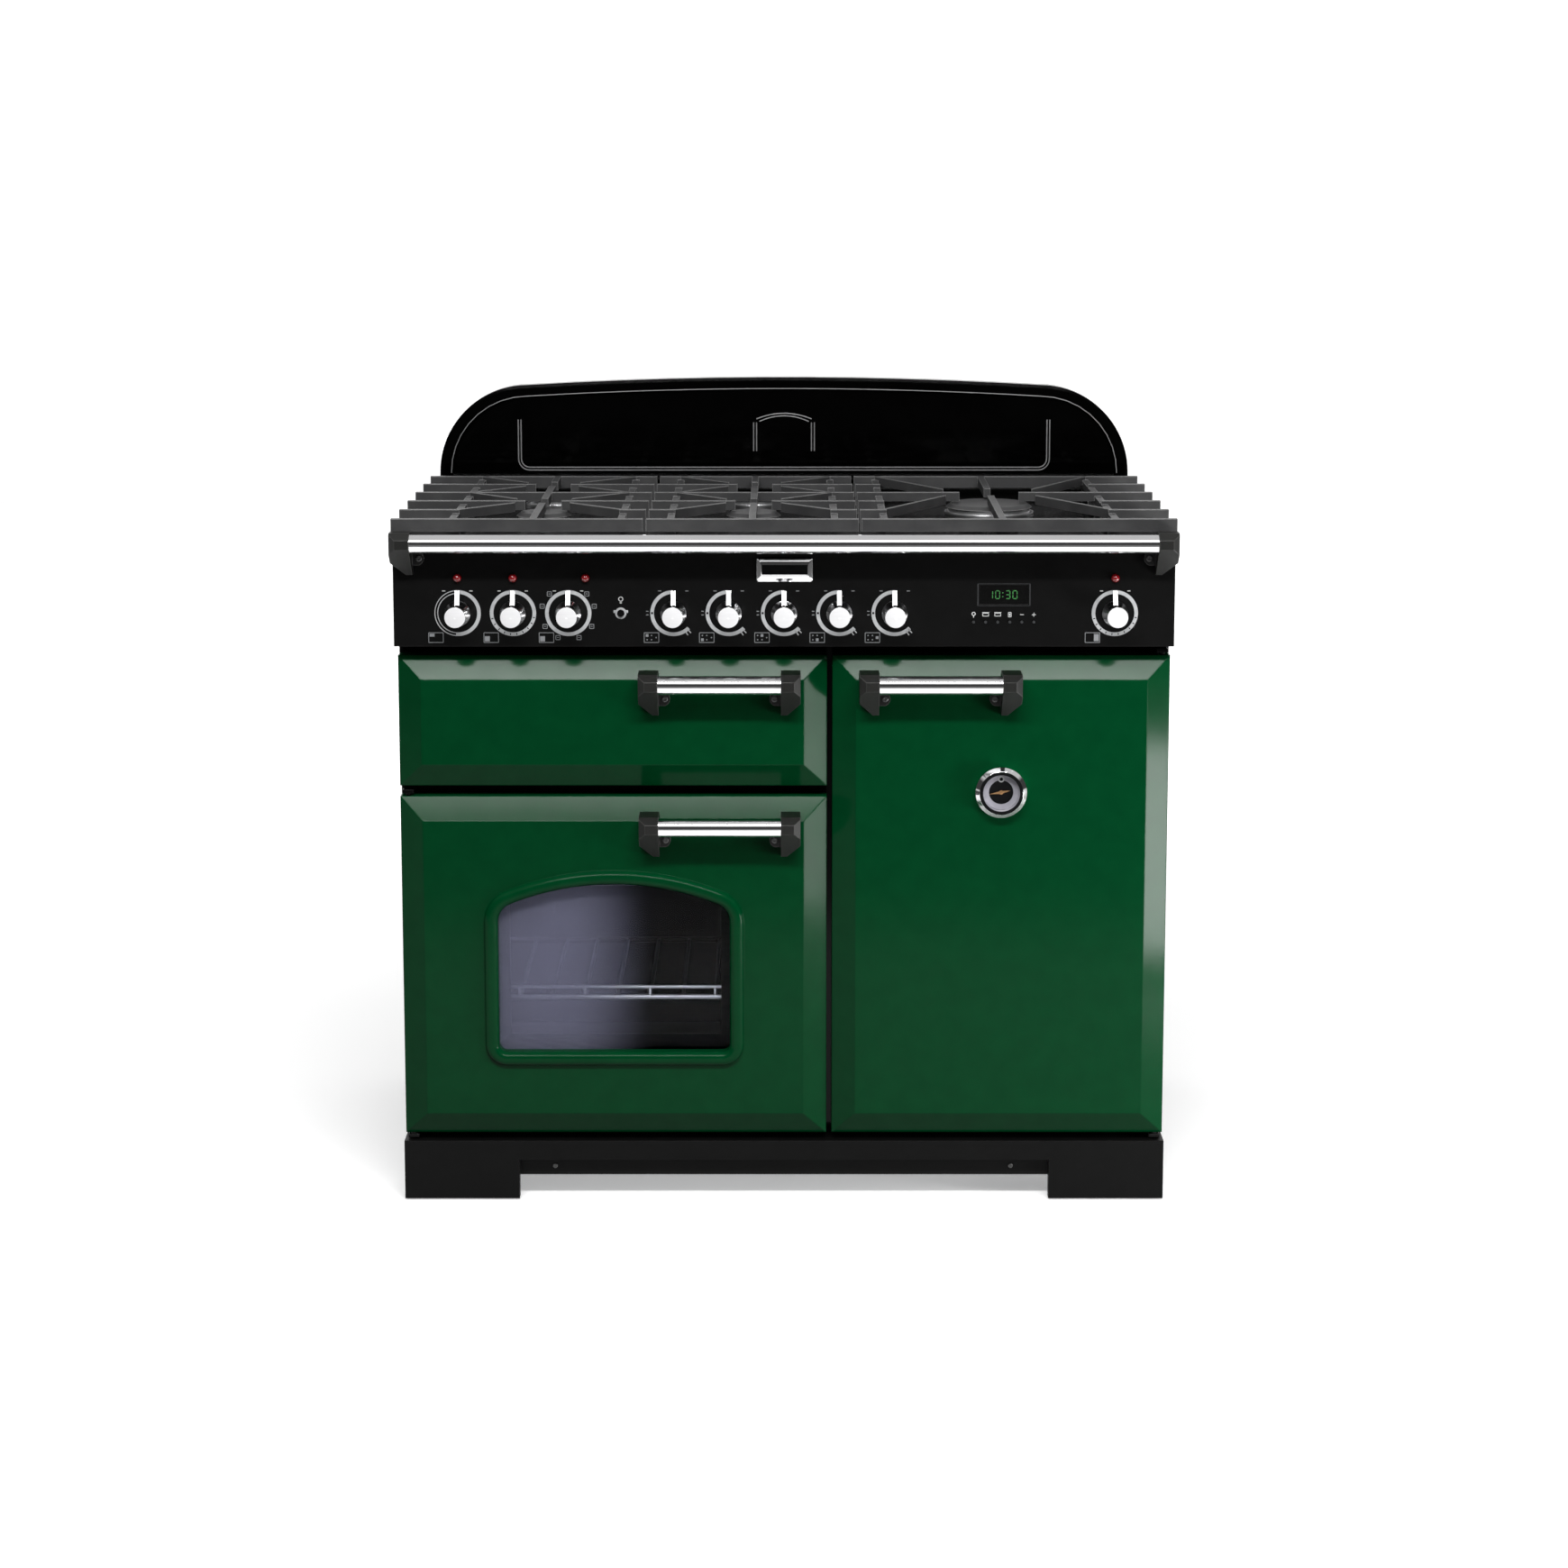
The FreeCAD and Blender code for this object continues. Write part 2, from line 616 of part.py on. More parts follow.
# Cabinet: base, feet, outer panels, front frame and plinth
def make_cabinet():
    panel_z = (d.plinth_arch, hob_under)
    inner_x = inset(sides, gauge)
    panel_depth = (frame_y, back_y - gauge)
    node("base_tray", block("base_plate", inner_x, panel_depth, (d.foot_height, base_top)))

    left_side = block("left_side", (-half, inner_x[0]), panel_depth, panel_z)
    right_side = block("right_side", (inner_x[1], half), panel_depth, panel_z)
    back_depth = (back_y - gauge, back_y)
    room = d.inlet_radius + d.inlet_room
    lower_back = block("lower_back", sides, back_depth, (panel_z[0], inlet_z - room))
    upper_back = block("upper_back", (-half, inlet_x - room), back_depth, (inlet_z - room, panel_z[1]))
    start = back_y - gauge - CUT_MARGIN
    through = gauge + CUT_MARGIN * 2
    cable_place = (half - d.cable_inset, start, inlet_z)
    cable_hole = rod("cable_hole", "y", d.cable_radius, cable_place, through)
    stay_z = hob_under - d.stay_drop
    stay_holes = [
        rod("stay_hole_%d" % number, "y", d.stay_radius, (x, start, stay_z), through)
        for number, x in enumerate((-d.stay_spacing / 2, d.stay_spacing / 2))
    ]
    drilled = cut("upper_back_drilled", upper_back, [cable_hole] + stay_holes)
    node("outer_panels", group("outer_group", [left_side, right_side, lower_back, drilled]))

    depth = (frame_y, liner_y)
    stile_z = (base_top, panel_bottom)
    frame = [
        block("left_stile", (inner_x[0], left_cavity_x[0]), depth, stile_z),
        block("centre_stile", (left_cavity_x[1], right_cavity_x[0]), depth, stile_z),
        block("right_stile", (right_cavity_x[1], inner_x[1]), depth, stile_z),
    ]
    spans = (
        ("left_sill", left_cavity_x, (base_top, main_cavity_z[0])),
        ("left_cross", left_cavity_x, (main_cavity_z[1], grill_cavity_z[0])),
        ("left_head", left_cavity_x, (grill_cavity_z[1], panel_bottom)),
        ("right_sill", right_cavity_x, (base_top, tall_cavity_z[0])),
        ("right_head", right_cavity_x, (tall_cavity_z[1], panel_bottom)),
    )
    frame += [block(name, x, depth, z) for name, x, z in spans]
    node("front_frame", group("frame_group", frame))

    feet = []
    for side_name, x in (("left", -half + d.foot_inset), ("right", half - d.foot_inset)):
        for end_name, y in (("front", frame_y + d.foot_inset), ("rear", back_y - d.foot_inset)):
            name = "%s_%s_foot" % (end_name, side_name)
            foot_pad = rod(name + "_pad", "z", d.foot_radius, (x, y, 0), d.foot_pad)
            stud = rod(name + "_stud", "z", d.stud_radius, (x, y, 0), d.foot_height)
            feet.append(fuse(name, [foot_pad, stud]))
    node("levelling_feet", group("feet_group", feet))


def make_plinth():
    """A bent front with two legs to the floor and a strip set back between them."""
    skin = (plinth_y, plinth_y + gauge)
    strip_y = (plinth_y + d.plinth_step, plinth_y + d.plinth_step + gauge)
    step_y = (plinth_y, strip_y[1])
    strip_top = d.plinth_height - d.plinth_front
    legs = ((-half, d.plinth_leg - half), (half - d.plinth_leg, half))
    strip_x = (legs[0][1] - gauge, legs[1][0] + gauge)
    parts = [
        block("plinth_front", sides, skin, (strip_top, d.plinth_height)),
        block("plinth_top", sides, (plinth_y, frame_y), (d.plinth_height - gauge, d.plinth_height)),
        block("plinth_step", strip_x, step_y, (strip_top, strip_top + gauge)),
        block("plinth_strip", strip_x, strip_y, (d.plinth_arch, strip_top)),
    ]
    for name, (low, high) in zip(("left", "right"), legs):
        outer = (low, low + gauge) if name == "left" else (high - gauge, high)
        inner = (high - gauge, high) if name == "left" else (low, low + gauge)
        leg_z = (d.floor_gap, strip_top + gauge)
        outer_z = (d.floor_gap, d.plinth_height)
        parts.append(block(name + "_leg_front", (low, high), skin, leg_z))
        parts.append(block(name + "_leg_inner", inner, step_y, leg_z))
        parts.append(block(name + "_leg_outer", outer, (plinth_y, frame_y), outer_z))
    node("plinth", fuse("plinth_bent", parts))


# Ovens: liners, shelves, fans and elements
FAN_BLADES = 6
SHELF_WIRES = 11
GUARD_STEP = 2
GRILL_RUNS = 4


def liner(name, x, z, shelf_z, fan_z=None):
    """Five enamelled walls with runners for the shelves, and a baffle where there is a fan."""
    depth = (liner_y, rear_y + gauge)
    wide = inset(x, -gauge)
    walls = [
        block(name + "_floor", wide, depth, (z[0] - gauge, z[0])),
        block(name + "_roof", wide, depth, (z[1], z[1] + gauge)),
        block(name + "_left", (wide[0], x[0]), depth, z),
        block(name + "_right", (x[1], wide[1]), depth, z),
    ]
    rear = block(name + "_rear", x, (rear_y, rear_y + gauge), z)
    middle = (x[0] + x[1]) / 2
    if fan_z is not None:
        hole_start = (middle, rear_y - CUT_MARGIN, fan_z)
        hole_radius = d.shaft_radius + d.running_gap
        hole = rod(name + "_hole", "y", hole_radius, hole_start, gauge + CUT_MARGIN * 2)
        rear = cut(name + "_rear_bored", rear, [hole])
        baffle_y = (rear_y - d.baffle_gap, rear_y - d.baffle_gap + gauge)
        across = around(middle, d.baffle_half)
        upright = around(fan_z, d.baffle_half)
        walls.append(block(name + "_baffle", across, baffle_y, upright))
        for column, post_x in enumerate(inset(across, d.post_inset)):
            for level, post_z in enumerate(inset(upright, d.post_inset)):
                post = "%s_post_%d%d" % (name, column, level)
                post_start = (post_x, baffle_y[1], post_z)
                walls.append(rod(post, "y", d.post_radius, post_start, rear_y - baffle_y[1]))
    walls.append(rear)
    runner_y = (liner_y + d.runner_start, rear_y - d.baffle_gap - d.runner_stop)
    for number, top in enumerate(shelf_z):
        runner_z = (top - gauge, top)
        runners = (("left", (x[0], x[0] + d.runner_width)), ("right", (x[1] - d.runner_width, x[1])))
        for side, runner_x in runners:
            walls.append(block("%s_runner_%s_%d" % (name, side, number), runner_x, runner_y, runner_z))
    node(name, group(name + "_walls", walls))


def wire_shelf(name, x, top):
    """A wire shelf that rests on two runners at the height top, with a second wire over its front."""
    front = liner_y + d.shelf_start
    rear = rear_y - d.baffle_gap - d.shelf_stop
    level = top + d.shelf_rail_radius
    across = inset(x, d.shelf_room)
    length = across[1] - across[0]
    bars = [
        rod("%s_rail_%d" % (name, number), "x", d.shelf_rail_radius, (across[0], y, level), length)
        for number, y in enumerate((front, rear))
    ]
    for number in range(SHELF_WIRES):
        wire_x = across[0] + length * ((number + 0.5) / SHELF_WIRES)
        wire_start = (wire_x, front, level)
        bars.append(rod("%s_wire_%d" % (name, number), "y", d.wire_radius, wire_start, rear - front))
        if number % GUARD_STEP == 0:
            bars.append(rod("%s_post_%d" % (name, number), "z", d.wire_radius, wire_start, d.guard_rise))
    guard_start = (across[0], front, level + d.guard_rise)
    bars.append(rod(name + "_guard", "x", d.wire_radius, guard_start, length))
    return fuse(name, bars)


def fan(name, x, z):
    """Blades on a hub, with a shaft through the rear wall."""
    body = new_body(name + "_body", x, rear_y - d.fan_setback, z)
    hub = sketch_in(body, name + "_hub", "XZ_Plane")
    ring(hub, 0, 0, d.hub_radius)
    pad(body, hub, d.fan_length)
    shaft = sketch_in(body, name + "_shaft", "XZ_Plane")
    ring(shaft, 0, 0, d.shaft_radius)
    pad(body, shaft, gauge + d.fan_setback + d.shaft_tail, backwards=True)
    blade = sketch_in(body, name + "_blade", "XZ_Plane")
    thin = d.blade_gauge / 2
    draw(blade, [
        (d.shaft_radius, -thin), (d.fan_radius, -thin), (d.fan_radius, thin), (d.shaft_radius, thin),
    ])
    blade_pad = pad(body, blade, d.fan_length)
    blades = body.newObject("PartDesign::PolarPattern", name + "_blades")
    blades.Originals = [blade_pad]
    axis = [feature for feature in body.Origin.OriginFeatures if feature.Role == "Y_Axis"]
    blades.Axis = (axis[0], [""])
    blades.Angle = 360
    blades.Occurrences = FAN_BLADES
    body.Tip = blades
    node(name, body)


def fan_motor(name, x, z):
    """A motor block behind the rear wall, hollow round the end of the fan shaft."""
    front = rear_y + gauge
    case_y = (front, front + d.motor_length)
    motor = block(name + "_case", around(x, d.motor_half), case_y, around(z, d.motor_half))
    socket_depth = d.shaft_tail + d.end_room
    socket = rod(name + "_socket", "y", d.shaft_radius + d.shaft_room, (x, front, z), socket_depth)
    return cut(name, motor, [socket])


def ring_element(name, x, z):
    """A round element about the fan, held by two tails in the rear wall."""
    reach = d.fan_radius + d.ring_margin
    y = rear_y - d.fan_setback - d.fan_length / 2
    hoop = doc.addObject("Part::Torus", name + "_hoop")
    hoop.Placement = Placement(Vector(), TURN["y"])
    bind(hoop, "Radius1", reach)
    bind(hoop, "Radius2", d.element_radius)
    place(hoop, x, y, z)
    tails = [
        rod(name + "_tail_%d" % number, "y", d.tail_radius, (tail_x, y, z), rear_y - y)
        for number, tail_x in enumerate(around(x, reach))
    ]
    return fuse(name, [hoop] + tails)


def grill_element():
    """Runs under the grill roof joined by bends at alternate ends."""
    width = left_cavity_x[1] - left_cavity_x[0]
    pitch = width / (GRILL_RUNS + 0.5)
    first_x = left_cavity_x[0] + pitch * 0.75
    level = grill_cavity_z[1] - d.grill_drop
    front = liner_y + d.grill_start
    turn_back = rear_y - d.grill_stop
    parts = []
    for number in range(GRILL_RUNS):
        stop = rear_y if number in (0, GRILL_RUNS - 1) else turn_back
        run_start = (first_x + pitch * number, front, level)
        parts.append(rod("grill_run_%d" % number, "y", d.element_radius, run_start, stop - front))
    for number in range(GRILL_RUNS - 1):
        bend = doc.addObject("Part::Torus", "grill_bend_%d" % number)
        at_front = number % 2 == 0
        bend.Angle3 = 180
        bend.Placement = Placement(Vector(), Rotation(Vector(0, 0, 1), 180 if at_front else 0))
        bind(bend, "Radius1", pitch / 2)
        bind(bend, "Radius2", d.element_radius)
        place(bend, first_x + pitch * (number + 0.5), front if at_front else turn_back, level)
        parts.append(bend)
    return parts


def grill_pan(shelf_top):
    """A shallow enamelled pan that rests on the grill runners."""
    x = inset(left_cavity_x, d.shelf_room)
    y = (liner_y + d.shelf_start, rear_y - d.baffle_gap - d.shelf_stop)
    top = shelf_top + d.pan_height
    outside = block("pan_outside", x, y, (shelf_top, top))
    inside_z = (shelf_top + d.pan_gauge, top + CUT_MARGIN)
    inside = block("pan_inside", inset(x, d.pan_gauge), inset(y, d.pan_gauge), inside_z)
    node("grill_pan", cut("pan_hollow", outside, [inside]))


def make_ovens():
    main_shelf = main_cavity_z[0] + d.main_shelf_rise
    low_shelf = tall_cavity_z[0] + d.tall_shelf_rise
    tall_shelves = (low_shelf, low_shelf + d.tall_shelf_step)
    grill_shelf = grill_cavity_z[0] + d.grill_shelf_rise
    main_middle = (left_cavity_x[0] + left_cavity_x[1]) / 2
    tall_middle = (right_cavity_x[0] + right_cavity_x[1]) / 2
    main_fan_z = main_shelf + d.fan_rise
    tall_fan_z = low_shelf + d.tall_shelf_step / 2
    liner("main_oven_liner", left_cavity_x, main_cavity_z, [main_shelf], main_fan_z)
    liner("tall_oven_liner", right_cavity_x, tall_cavity_z, tall_shelves, tall_fan_z)
    liner("grill_liner", left_cavity_x, grill_cavity_z, [grill_shelf])
    shelves = [wire_shelf("main_shelf", left_cavity_x, main_shelf)]
    for number, top in enumerate(tall_shelves):
        shelves.append(wire_shelf("tall_shelf_%d" % number, right_cavity_x, top))
    node("oven_shelves", group("shelf_group", shelves))
    fan("main_oven_fan", main_middle, main_fan_z)
    fan("tall_oven_fan", tall_middle, tall_fan_z)
    motors = [
        fan_motor("main_motor", main_middle, main_fan_z),
        fan_motor("tall_motor", tall_middle, tall_fan_z),
    ]
    node("fan_motors", group("motor_group", motors))
    elements = [
        ring_element("main_ring", main_middle, main_fan_z),
        ring_element("tall_ring", tall_middle, tall_fan_z),
    ]
    node("heating_elements", group("element_group", elements + grill_element()))
    grill_pan(grill_shelf)


# Doors: skins, inner panels, hinges, seals and glass
grill_arm_x = inset(left_x, d.arm_inset)
hinge_block_y = (rim_y + gauge + d.hinge_block_gap, hinge_y + d.hinge_block_back)


def door_shell(name, x, z, tools):
    """A pressed door front: a rim, a sloping border and a raised face, hollow behind."""
    rim = block(name + "_rim", x, (rim_y, rim_back_y), z)
    raised = inset(x, d.bevel_width), inset(z, d.bevel_width)
    slope = frustum(name + "_slope", (face_y, rim_y), *raised, x, z)
    solid = fuse(name + "_solid", [rim, slope])
    thin_x, thin_z = inset(x, gauge), inset(z, gauge)
    hollow_rim_y = (rim_y + gauge, rim_back_y + CUT_MARGIN)
    hollow_slope_y = (face_y + gauge, rim_y + gauge)
    hollow_rim = block(name + "_hollow_rim", thin_x, hollow_rim_y, thin_z)
    hollow_slope = frustum(name + "_hollow_slope", hollow_slope_y, *raised, thin_x, thin_z)
    return cut(name + "_shell", solid, [hollow_rim, hollow_slope] + tools)


def door_tray(name, x, z, tools):
    """The folded inner panel that closes the back of a door."""
    front = rim_y + d.tray_setback
    x, z = inset(x, gauge), inset(z, gauge)
    outside = block(name + "_outside", x, (front, inner_y), z)
    inside_y = (front - CUT_MARGIN, inner_y - gauge)
    inside = block(name + "_inside", inset(x, gauge), inside_y, inset(z, gauge))
    return cut(name + "_folded", outside, [inside] + tools)


def pin_block(name, pin_x, z):
    """A block inside a door, bored for an upright hinge pin."""
    body = block(name + "_block", around(pin_x, d.hinge_block_half), hinge_block_y, z)
    start = (pin_x, hinge_y, z[0] - CUT_MARGIN)
    length = z[1] - z[0] + CUT_MARGIN * 2
    hole = rod(name + "_bore", "z", d.pin_radius + d.running_gap, start, length)
    return cut(name, body, [hole])


def side_hung(name, pin_x, z):
    """Clearance holes and bored blocks at the top and bottom of a door that swings sideways."""
    walls = gauge * 2
    reach = walls + CUT_MARGIN * 2
    levels = (z[0] - CUT_MARGIN, z[1] - walls - CUT_MARGIN)
    hole_radius = d.pin_radius + d.pin_hole_room
    holes = [
        rod("%s_pin_hole_%d" % (name, number), "z", hole_radius, (pin_x, hinge_y, level), reach)
        for number, level in enumerate(levels)
    ]
    low = (z[0] + walls, z[0] + walls + d.hinge_block_height)
    high = (z[1] - walls - d.hinge_block_height, z[1] - walls)
    blocks = [
        pin_block(name + "_low_hinge", pin_x, low),
        pin_block(name + "_high_hinge", pin_x, high),
    ]
    return holes, blocks


def lug(name, pin_x, edge_z, upwards):
    """A plate on the front frame with a pin that points up or down into a door."""
    length = d.lug_gauge + d.lug_gap + d.pin_reach
    if upwards:
        plate_z = (edge_z - d.lug_gap - d.lug_gauge, edge_z - d.lug_gap)
        start = plate_z[0]
    else:
        plate_z = (edge_z + d.lug_gap, edge_z + d.lug_gap + d.lug_gauge)
        start = edge_z - d.pin_reach
    foot_y = (hinge_y - d.lug_reach, frame_y)
    foot = block(name + "_plate", around(pin_x, d.hinge_block_half), foot_y, plate_z)
    pin = rod(name + "_pin", "z", d.pin_radius, (pin_x, hinge_y, start), length)
    return fuse(name, [foot, pin])


def arm(name, x):
    """A bar from the front frame into the grill door, with a crosswise pin."""
    across = around(x, d.arm_half)
    bar_z = around(grill_pin_z, d.arm_boss_radius)
    length = d.pin_reach * 2
    return fuse(name, [
        block(name + "_bar", across, (hinge_y, frame_y), bar_z),
        rod(name + "_boss", "x", d.arm_boss_radius, (across[0], hinge_y, grill_pin_z), d.arm_half * 2),
        rod(name + "_pin", "x", d.grill_pin_radius, (x - d.pin_reach, hinge_y, grill_pin_z), length),
    ])


def window_outline(middle, grow):
    """The outline of the oven window, grown evenly by a border: straight sides, a shallow arch and
    rounded corners that run smoothly into both."""
    half_width = d.window_half + grow
    low = door_bottom + d.window_bottom - grow
    arch = d.window_arch + grow
    shoulder = d.window_shoulder + grow
    corner = d.window_corner + grow
    arch_centre = main_top - d.window_crown - d.window_arch
    across = half_width - shoulder
    apart = arch - shoulder
    rise = root(apart * apart - across * across)
    shoulder_z = arch_centre + rise
    touch_x = across * arch / apart
    touch_z = arch_centre + rise * arch / apart
    return [
        (middle - half_width + corner, low),
        (middle + half_width - corner, low, corner),
        (middle + half_width, low + corner),
        (middle + half_width, shoulder_z, shoulder),
        (middle + touch_x, touch_z, arch),
        (middle - touch_x, touch_z, shoulder),
        (middle - half_width, shoulder_z),
        (middle - half_width, low + corner, corner),
    ]


def window_bead(middle):
    """A half-round bead about the window that reaches back to the front pane."""
    body = new_body("bead_body", 0, face_y + d.bead_depth, 0)
    profile = sketch_in(body, "bead_profile", "XZ_Plane")
    draw(profile, window_outline(middle, d.window_bead))
    draw(profile, window_outline(middle, as_size(0)))
    prism = pad(body, profile, d.bead_height + d.bead_depth)
    doc.recompute()
    faces = prism.Shape.Faces
    front = min(range(len(faces)), key=lambda index: faces[index].CenterOfMass.y)
    rounding = body.newObject("PartDesign::Fillet", "bead_rounding")
    rounding.Base = (prism, ["Face%d" % (front + 1)])
    bind(rounding, "Radius", d.bead_round)
    return body


def make_grill_door():
    notch_y = (hinge_y - d.arm_boss_radius - d.notch_gap, frame_y)
    notch_z = (grill_bottom - CUT_MARGIN, grill_pin_z + d.arm_boss_radius + d.notch_gap * 2)
    notches = [
        block("grill_notch_%d" % number, around(x, d.notch_half), notch_y, notch_z)
        for number, x in enumerate(grill_arm_x)
    ]
    node("grill_door_skin", door_shell("grill_skin", left_x, grill_z, notches))
    tray = door_tray("grill_tray", left_x, grill_z, notches)
    blocks = []
    block_z = (grill_bottom + gauge * 2, grill_pin_z + d.hinge_block_back)
    bored = d.grill_block_width + CUT_MARGIN * 2
    for number, x in enumerate(grill_arm_x):
        outer = around(x, d.notch_half + d.grill_block_width)
        inner = around(x, d.notch_half)
        for side, span in enumerate(((outer[0], inner[0]), (inner[1], outer[1]))):
            name = "grill_hinge_%d%d" % (number, side)
            body = block(name + "_block", span, hinge_block_y, block_z)
            start = (span[0] - CUT_MARGIN, hinge_y, grill_pin_z)
            hole = rod(name + "_bore", "x", d.grill_pin_radius + d.running_gap, start, bored)
            blocks.append(cut(name, body, [hole]))
    node("grill_door_inner", group("grill_inner_group", [tray] + blocks))


def make_main_door():
    holes, blocks = side_hung("main", left_pin_x, main_z)
    middle = (left_x[0] + left_x[1]) / 2
    opening_y = face_y - d.bead_height - CUT_MARGIN
    opening_depth = d.bead_height + d.bead_depth + CUT_MARGIN * 2
    half_bead = d.window_bead / 2
    opening = plate("window_opening", [window_outline(middle, half_bead)], opening_y, opening_depth)
    bead = window_bead(middle)
    shell = door_shell("main_skin", left_x, main_z, holes)
    pierced = cut("main_skin_pierced", shell, [opening])
    node("main_door_skin", fuse("main_skin_beaded", [pierced, bead]))

    border = d.glass_border
    window_z = (door_bottom + d.window_bottom, main_top - d.window_crown)
    glass_x = around(middle, d.window_half + border)
    glass_z = inset(window_z, -border)
    front_pane_y = (face_y + d.bead_depth, face_y + d.bead_depth + d.pane_gauge)
    rear_pane_y = (inner_y - gauge - d.pane_gauge, inner_y - gauge)
    panes = [
        block("front_pane", glass_x, front_pane_y, glass_z),
        block("rear_pane", glass_x, rear_pane_y, glass_z),
    ]
    node("main_door_glass", group("glass_group", panes))

    view_y = (inner_y - gauge - CUT_MARGIN, inner_y + CUT_MARGIN)
    view_hole = block("view_hole", inset(glass_x, border * 2), view_y, inset(glass_z, border * 2))
    tray = door_tray("main_tray", left_x, main_z, holes + [view_hole])
    node("main_door_inner", group("main_inner_group", [tray] + blocks))


def make_tall_door():
    holes, blocks = side_hung("tall", right_pin_x, tall_z)
    node("tall_door_skin", door_shell("tall_skin", right_x, tall_z, holes))
    tray = door_tray("tall_tray", right_x, tall_z, holes)
    node("tall_door_inner", group("tall_inner_group", [tray] + blocks))


def make_hinges_and_seals():
    hinges = [
        lug("main_low_lug", left_pin_x, main_z[0], True),
        lug("main_high_lug", left_pin_x, main_z[1], False),
        lug("tall_low_lug", right_pin_x, tall_z[0], True),
        lug("tall_high_lug", right_pin_x, tall_z[1], False),
    ]
    hinges += [arm("grill_arm_%d" % number, x) for number, x in enumerate(grill_arm_x)]
    node("door_hinges", group("hinge_group", hinges))

    seal_y = (inner_y + d.seal_gap, frame_y)
    seals = []
    cavities = (
        ("main", left_cavity_x, main_cavity_z),
        ("grill", left_cavity_x, grill_cavity_z),
        ("tall", right_cavity_x, tall_cavity_z),
    )
    for name, x, z in cavities:
        wide = inset(x, -d.seal_width)
        tall = inset(z, -d.seal_width)
        seals.append(block(name + "_seal_left", (wide[0], x[0]), seal_y, z))
        seals.append(block(name + "_seal_right", (x[1], wide[1]), seal_y, z))
        seals.append(block(name + "_seal_top", wide, seal_y, (z[1], tall[1])))
        if name != "grill":
            seals.append(block(name + "_seal_bottom", wide, seal_y, (tall[0], z[0])))
    node("door_seals", group("seal_group", seals))


# Bars and brackets: the front rail and the door handles
def bracket(name, x, y, z, wide, stand, relief):
    """A cast end that closes over a bar: a wedge with a socket, a tapered foot and a lug for a screw.
    The outer side is at x, the mounting face at y and the bar's middle at z. The relief gives the
    depth and the level of a step that clears whatever overhangs the mounting face."""
    body = new_body(name + "_body", x, y, z)
    crest = bar_radius + d.bracket_wall
    reach = stand + crest
    stem_low = -(bar_radius + d.stem_length)
    profile = sketch_in(body, name + "_profile", "YZ_Plane")
    if relief:
        depth, level = relief
        top = [(0, level), (-depth, level), (-depth, crest)]
    else:
        top = [(0, crest)]
    draw(profile, top + [
        (-(stand + d.facet_top), crest), (-reach, d.facet_front), (-reach, -d.facet_front),
        (-d.stem_gauge, stem_low), (0, stem_low),
    ])
    pad(body, profile, wide)
    lobe = sketch_in(body, name + "_lobe", "XZ_Plane")
    lobe_x = wide + d.lobe_reach
    lobe_z = -(bar_radius + d.lobe_drop)
    lobe_top, lobe_bottom = lobe_z + d.lobe_radius, lobe_z - d.lobe_radius
    draw(lobe, [
        (wide / 2, lobe_bottom), (lobe_x, lobe_bottom, d.lobe_radius * ARC_EASE),
        (lobe_x, lobe_top), (wide / 2, lobe_top),
    ])
    pad(body, lobe, d.lobe_gauge)
    edge = -CUT_MARGIN
    taper = sketch_in(body, name + "_taper", "XZ_Plane")
    draw(taper, [
        (edge, stem_low + d.taper_rise), (edge, stem_low + edge), (wide - d.stem_tip, stem_low + edge),
    ])
    bore(body, taper)
    corner = sketch_in(body, name + "_corner", "XY_Plane")
    draw(corner, [(edge, edge - reach), (d.corner_cut, edge - reach), (edge, d.corner_cut - reach)])
    bore(body, corner)
    socket = sketch_in(body, name + "_socket", "YZ_Plane")
    bind(socket, "AttachmentOffset.Base.z", d.end_wall)
    ring(socket, -stand, 0, bar_radius + d.running_gap)
    hollow = bore(body, socket)
    hollow.Midplane = False
    hollow.Reversed = True
    screw_hole = sketch_in(body, name + "_screw_hole", "XZ_Plane")
    ring(screw_hole, lobe_x, lobe_z, d.screw_radius)
    bore(body, screw_hole)
    return body


def bar(name, x, y, z):
    """A polished bar with rounded ends."""
    length = x[1] - x[0]
    soft = d.bar_round
    body = new_body(name + "_body", x[0], y, z)
    profile = sketch_in(body, name + "_profile", "XY_Plane")
    draw(profile, [
        (0, 0), (length, 0), (length, bar_radius - soft, soft), (length - soft, bar_radius),
        (soft, bar_radius, soft), (0, bar_radius - soft),
    ])
    turn(body, profile, "H_Axis")
    return body


def barred(prefix, bar_node, bracket_node, x, mount_y, z, wide, stand, relief=None):
    """A bar between a left bracket and its mirror image."""
    bar_x = inset(x, d.end_wall + d.running_gap)
    node(bar_node, bar(prefix + "_bar", bar_x, mount_y - stand, z))
    left = bracket(prefix + "_left", x[0], mount_y, z, wide, stand, relief)
    right = mirror(prefix + "_right", left, (x[0] + x[1]) / 2)
    node(bracket_node, group(prefix + "_brackets", [left, right]))


def make_bars():
    lip_relief = (d.hob_overhang + d.lip_room, -(d.lip_drop + d.rail_rise + d.lip_room))
    rail_z = hob_under + d.rail_rise
    barred("rail", "front_rail", "rail_brackets", sides, panel_y, rail_z,
           d.rail_bracket_width, d.rail_stand, lip_relief)
    left_end = left_x[1] - d.handle_inset
    left_handle = (left_end - d.handle_length, left_end)
    right_start = right_x[0] + d.handle_inset
    right_handle = (right_start, right_start + d.handle_length)
    doors = (
        ("grill", left_handle, door_top),
        ("main", left_handle, main_top),
        ("tall", right_handle, door_top),
    )
    for name, x, top in doors:
        handle = name + "_door_handle"
        barred(handle, handle + "_bar", handle + "_brackets", x, face_y, top - d.handle_drop,
               d.bracket_width, d.handle_stand)


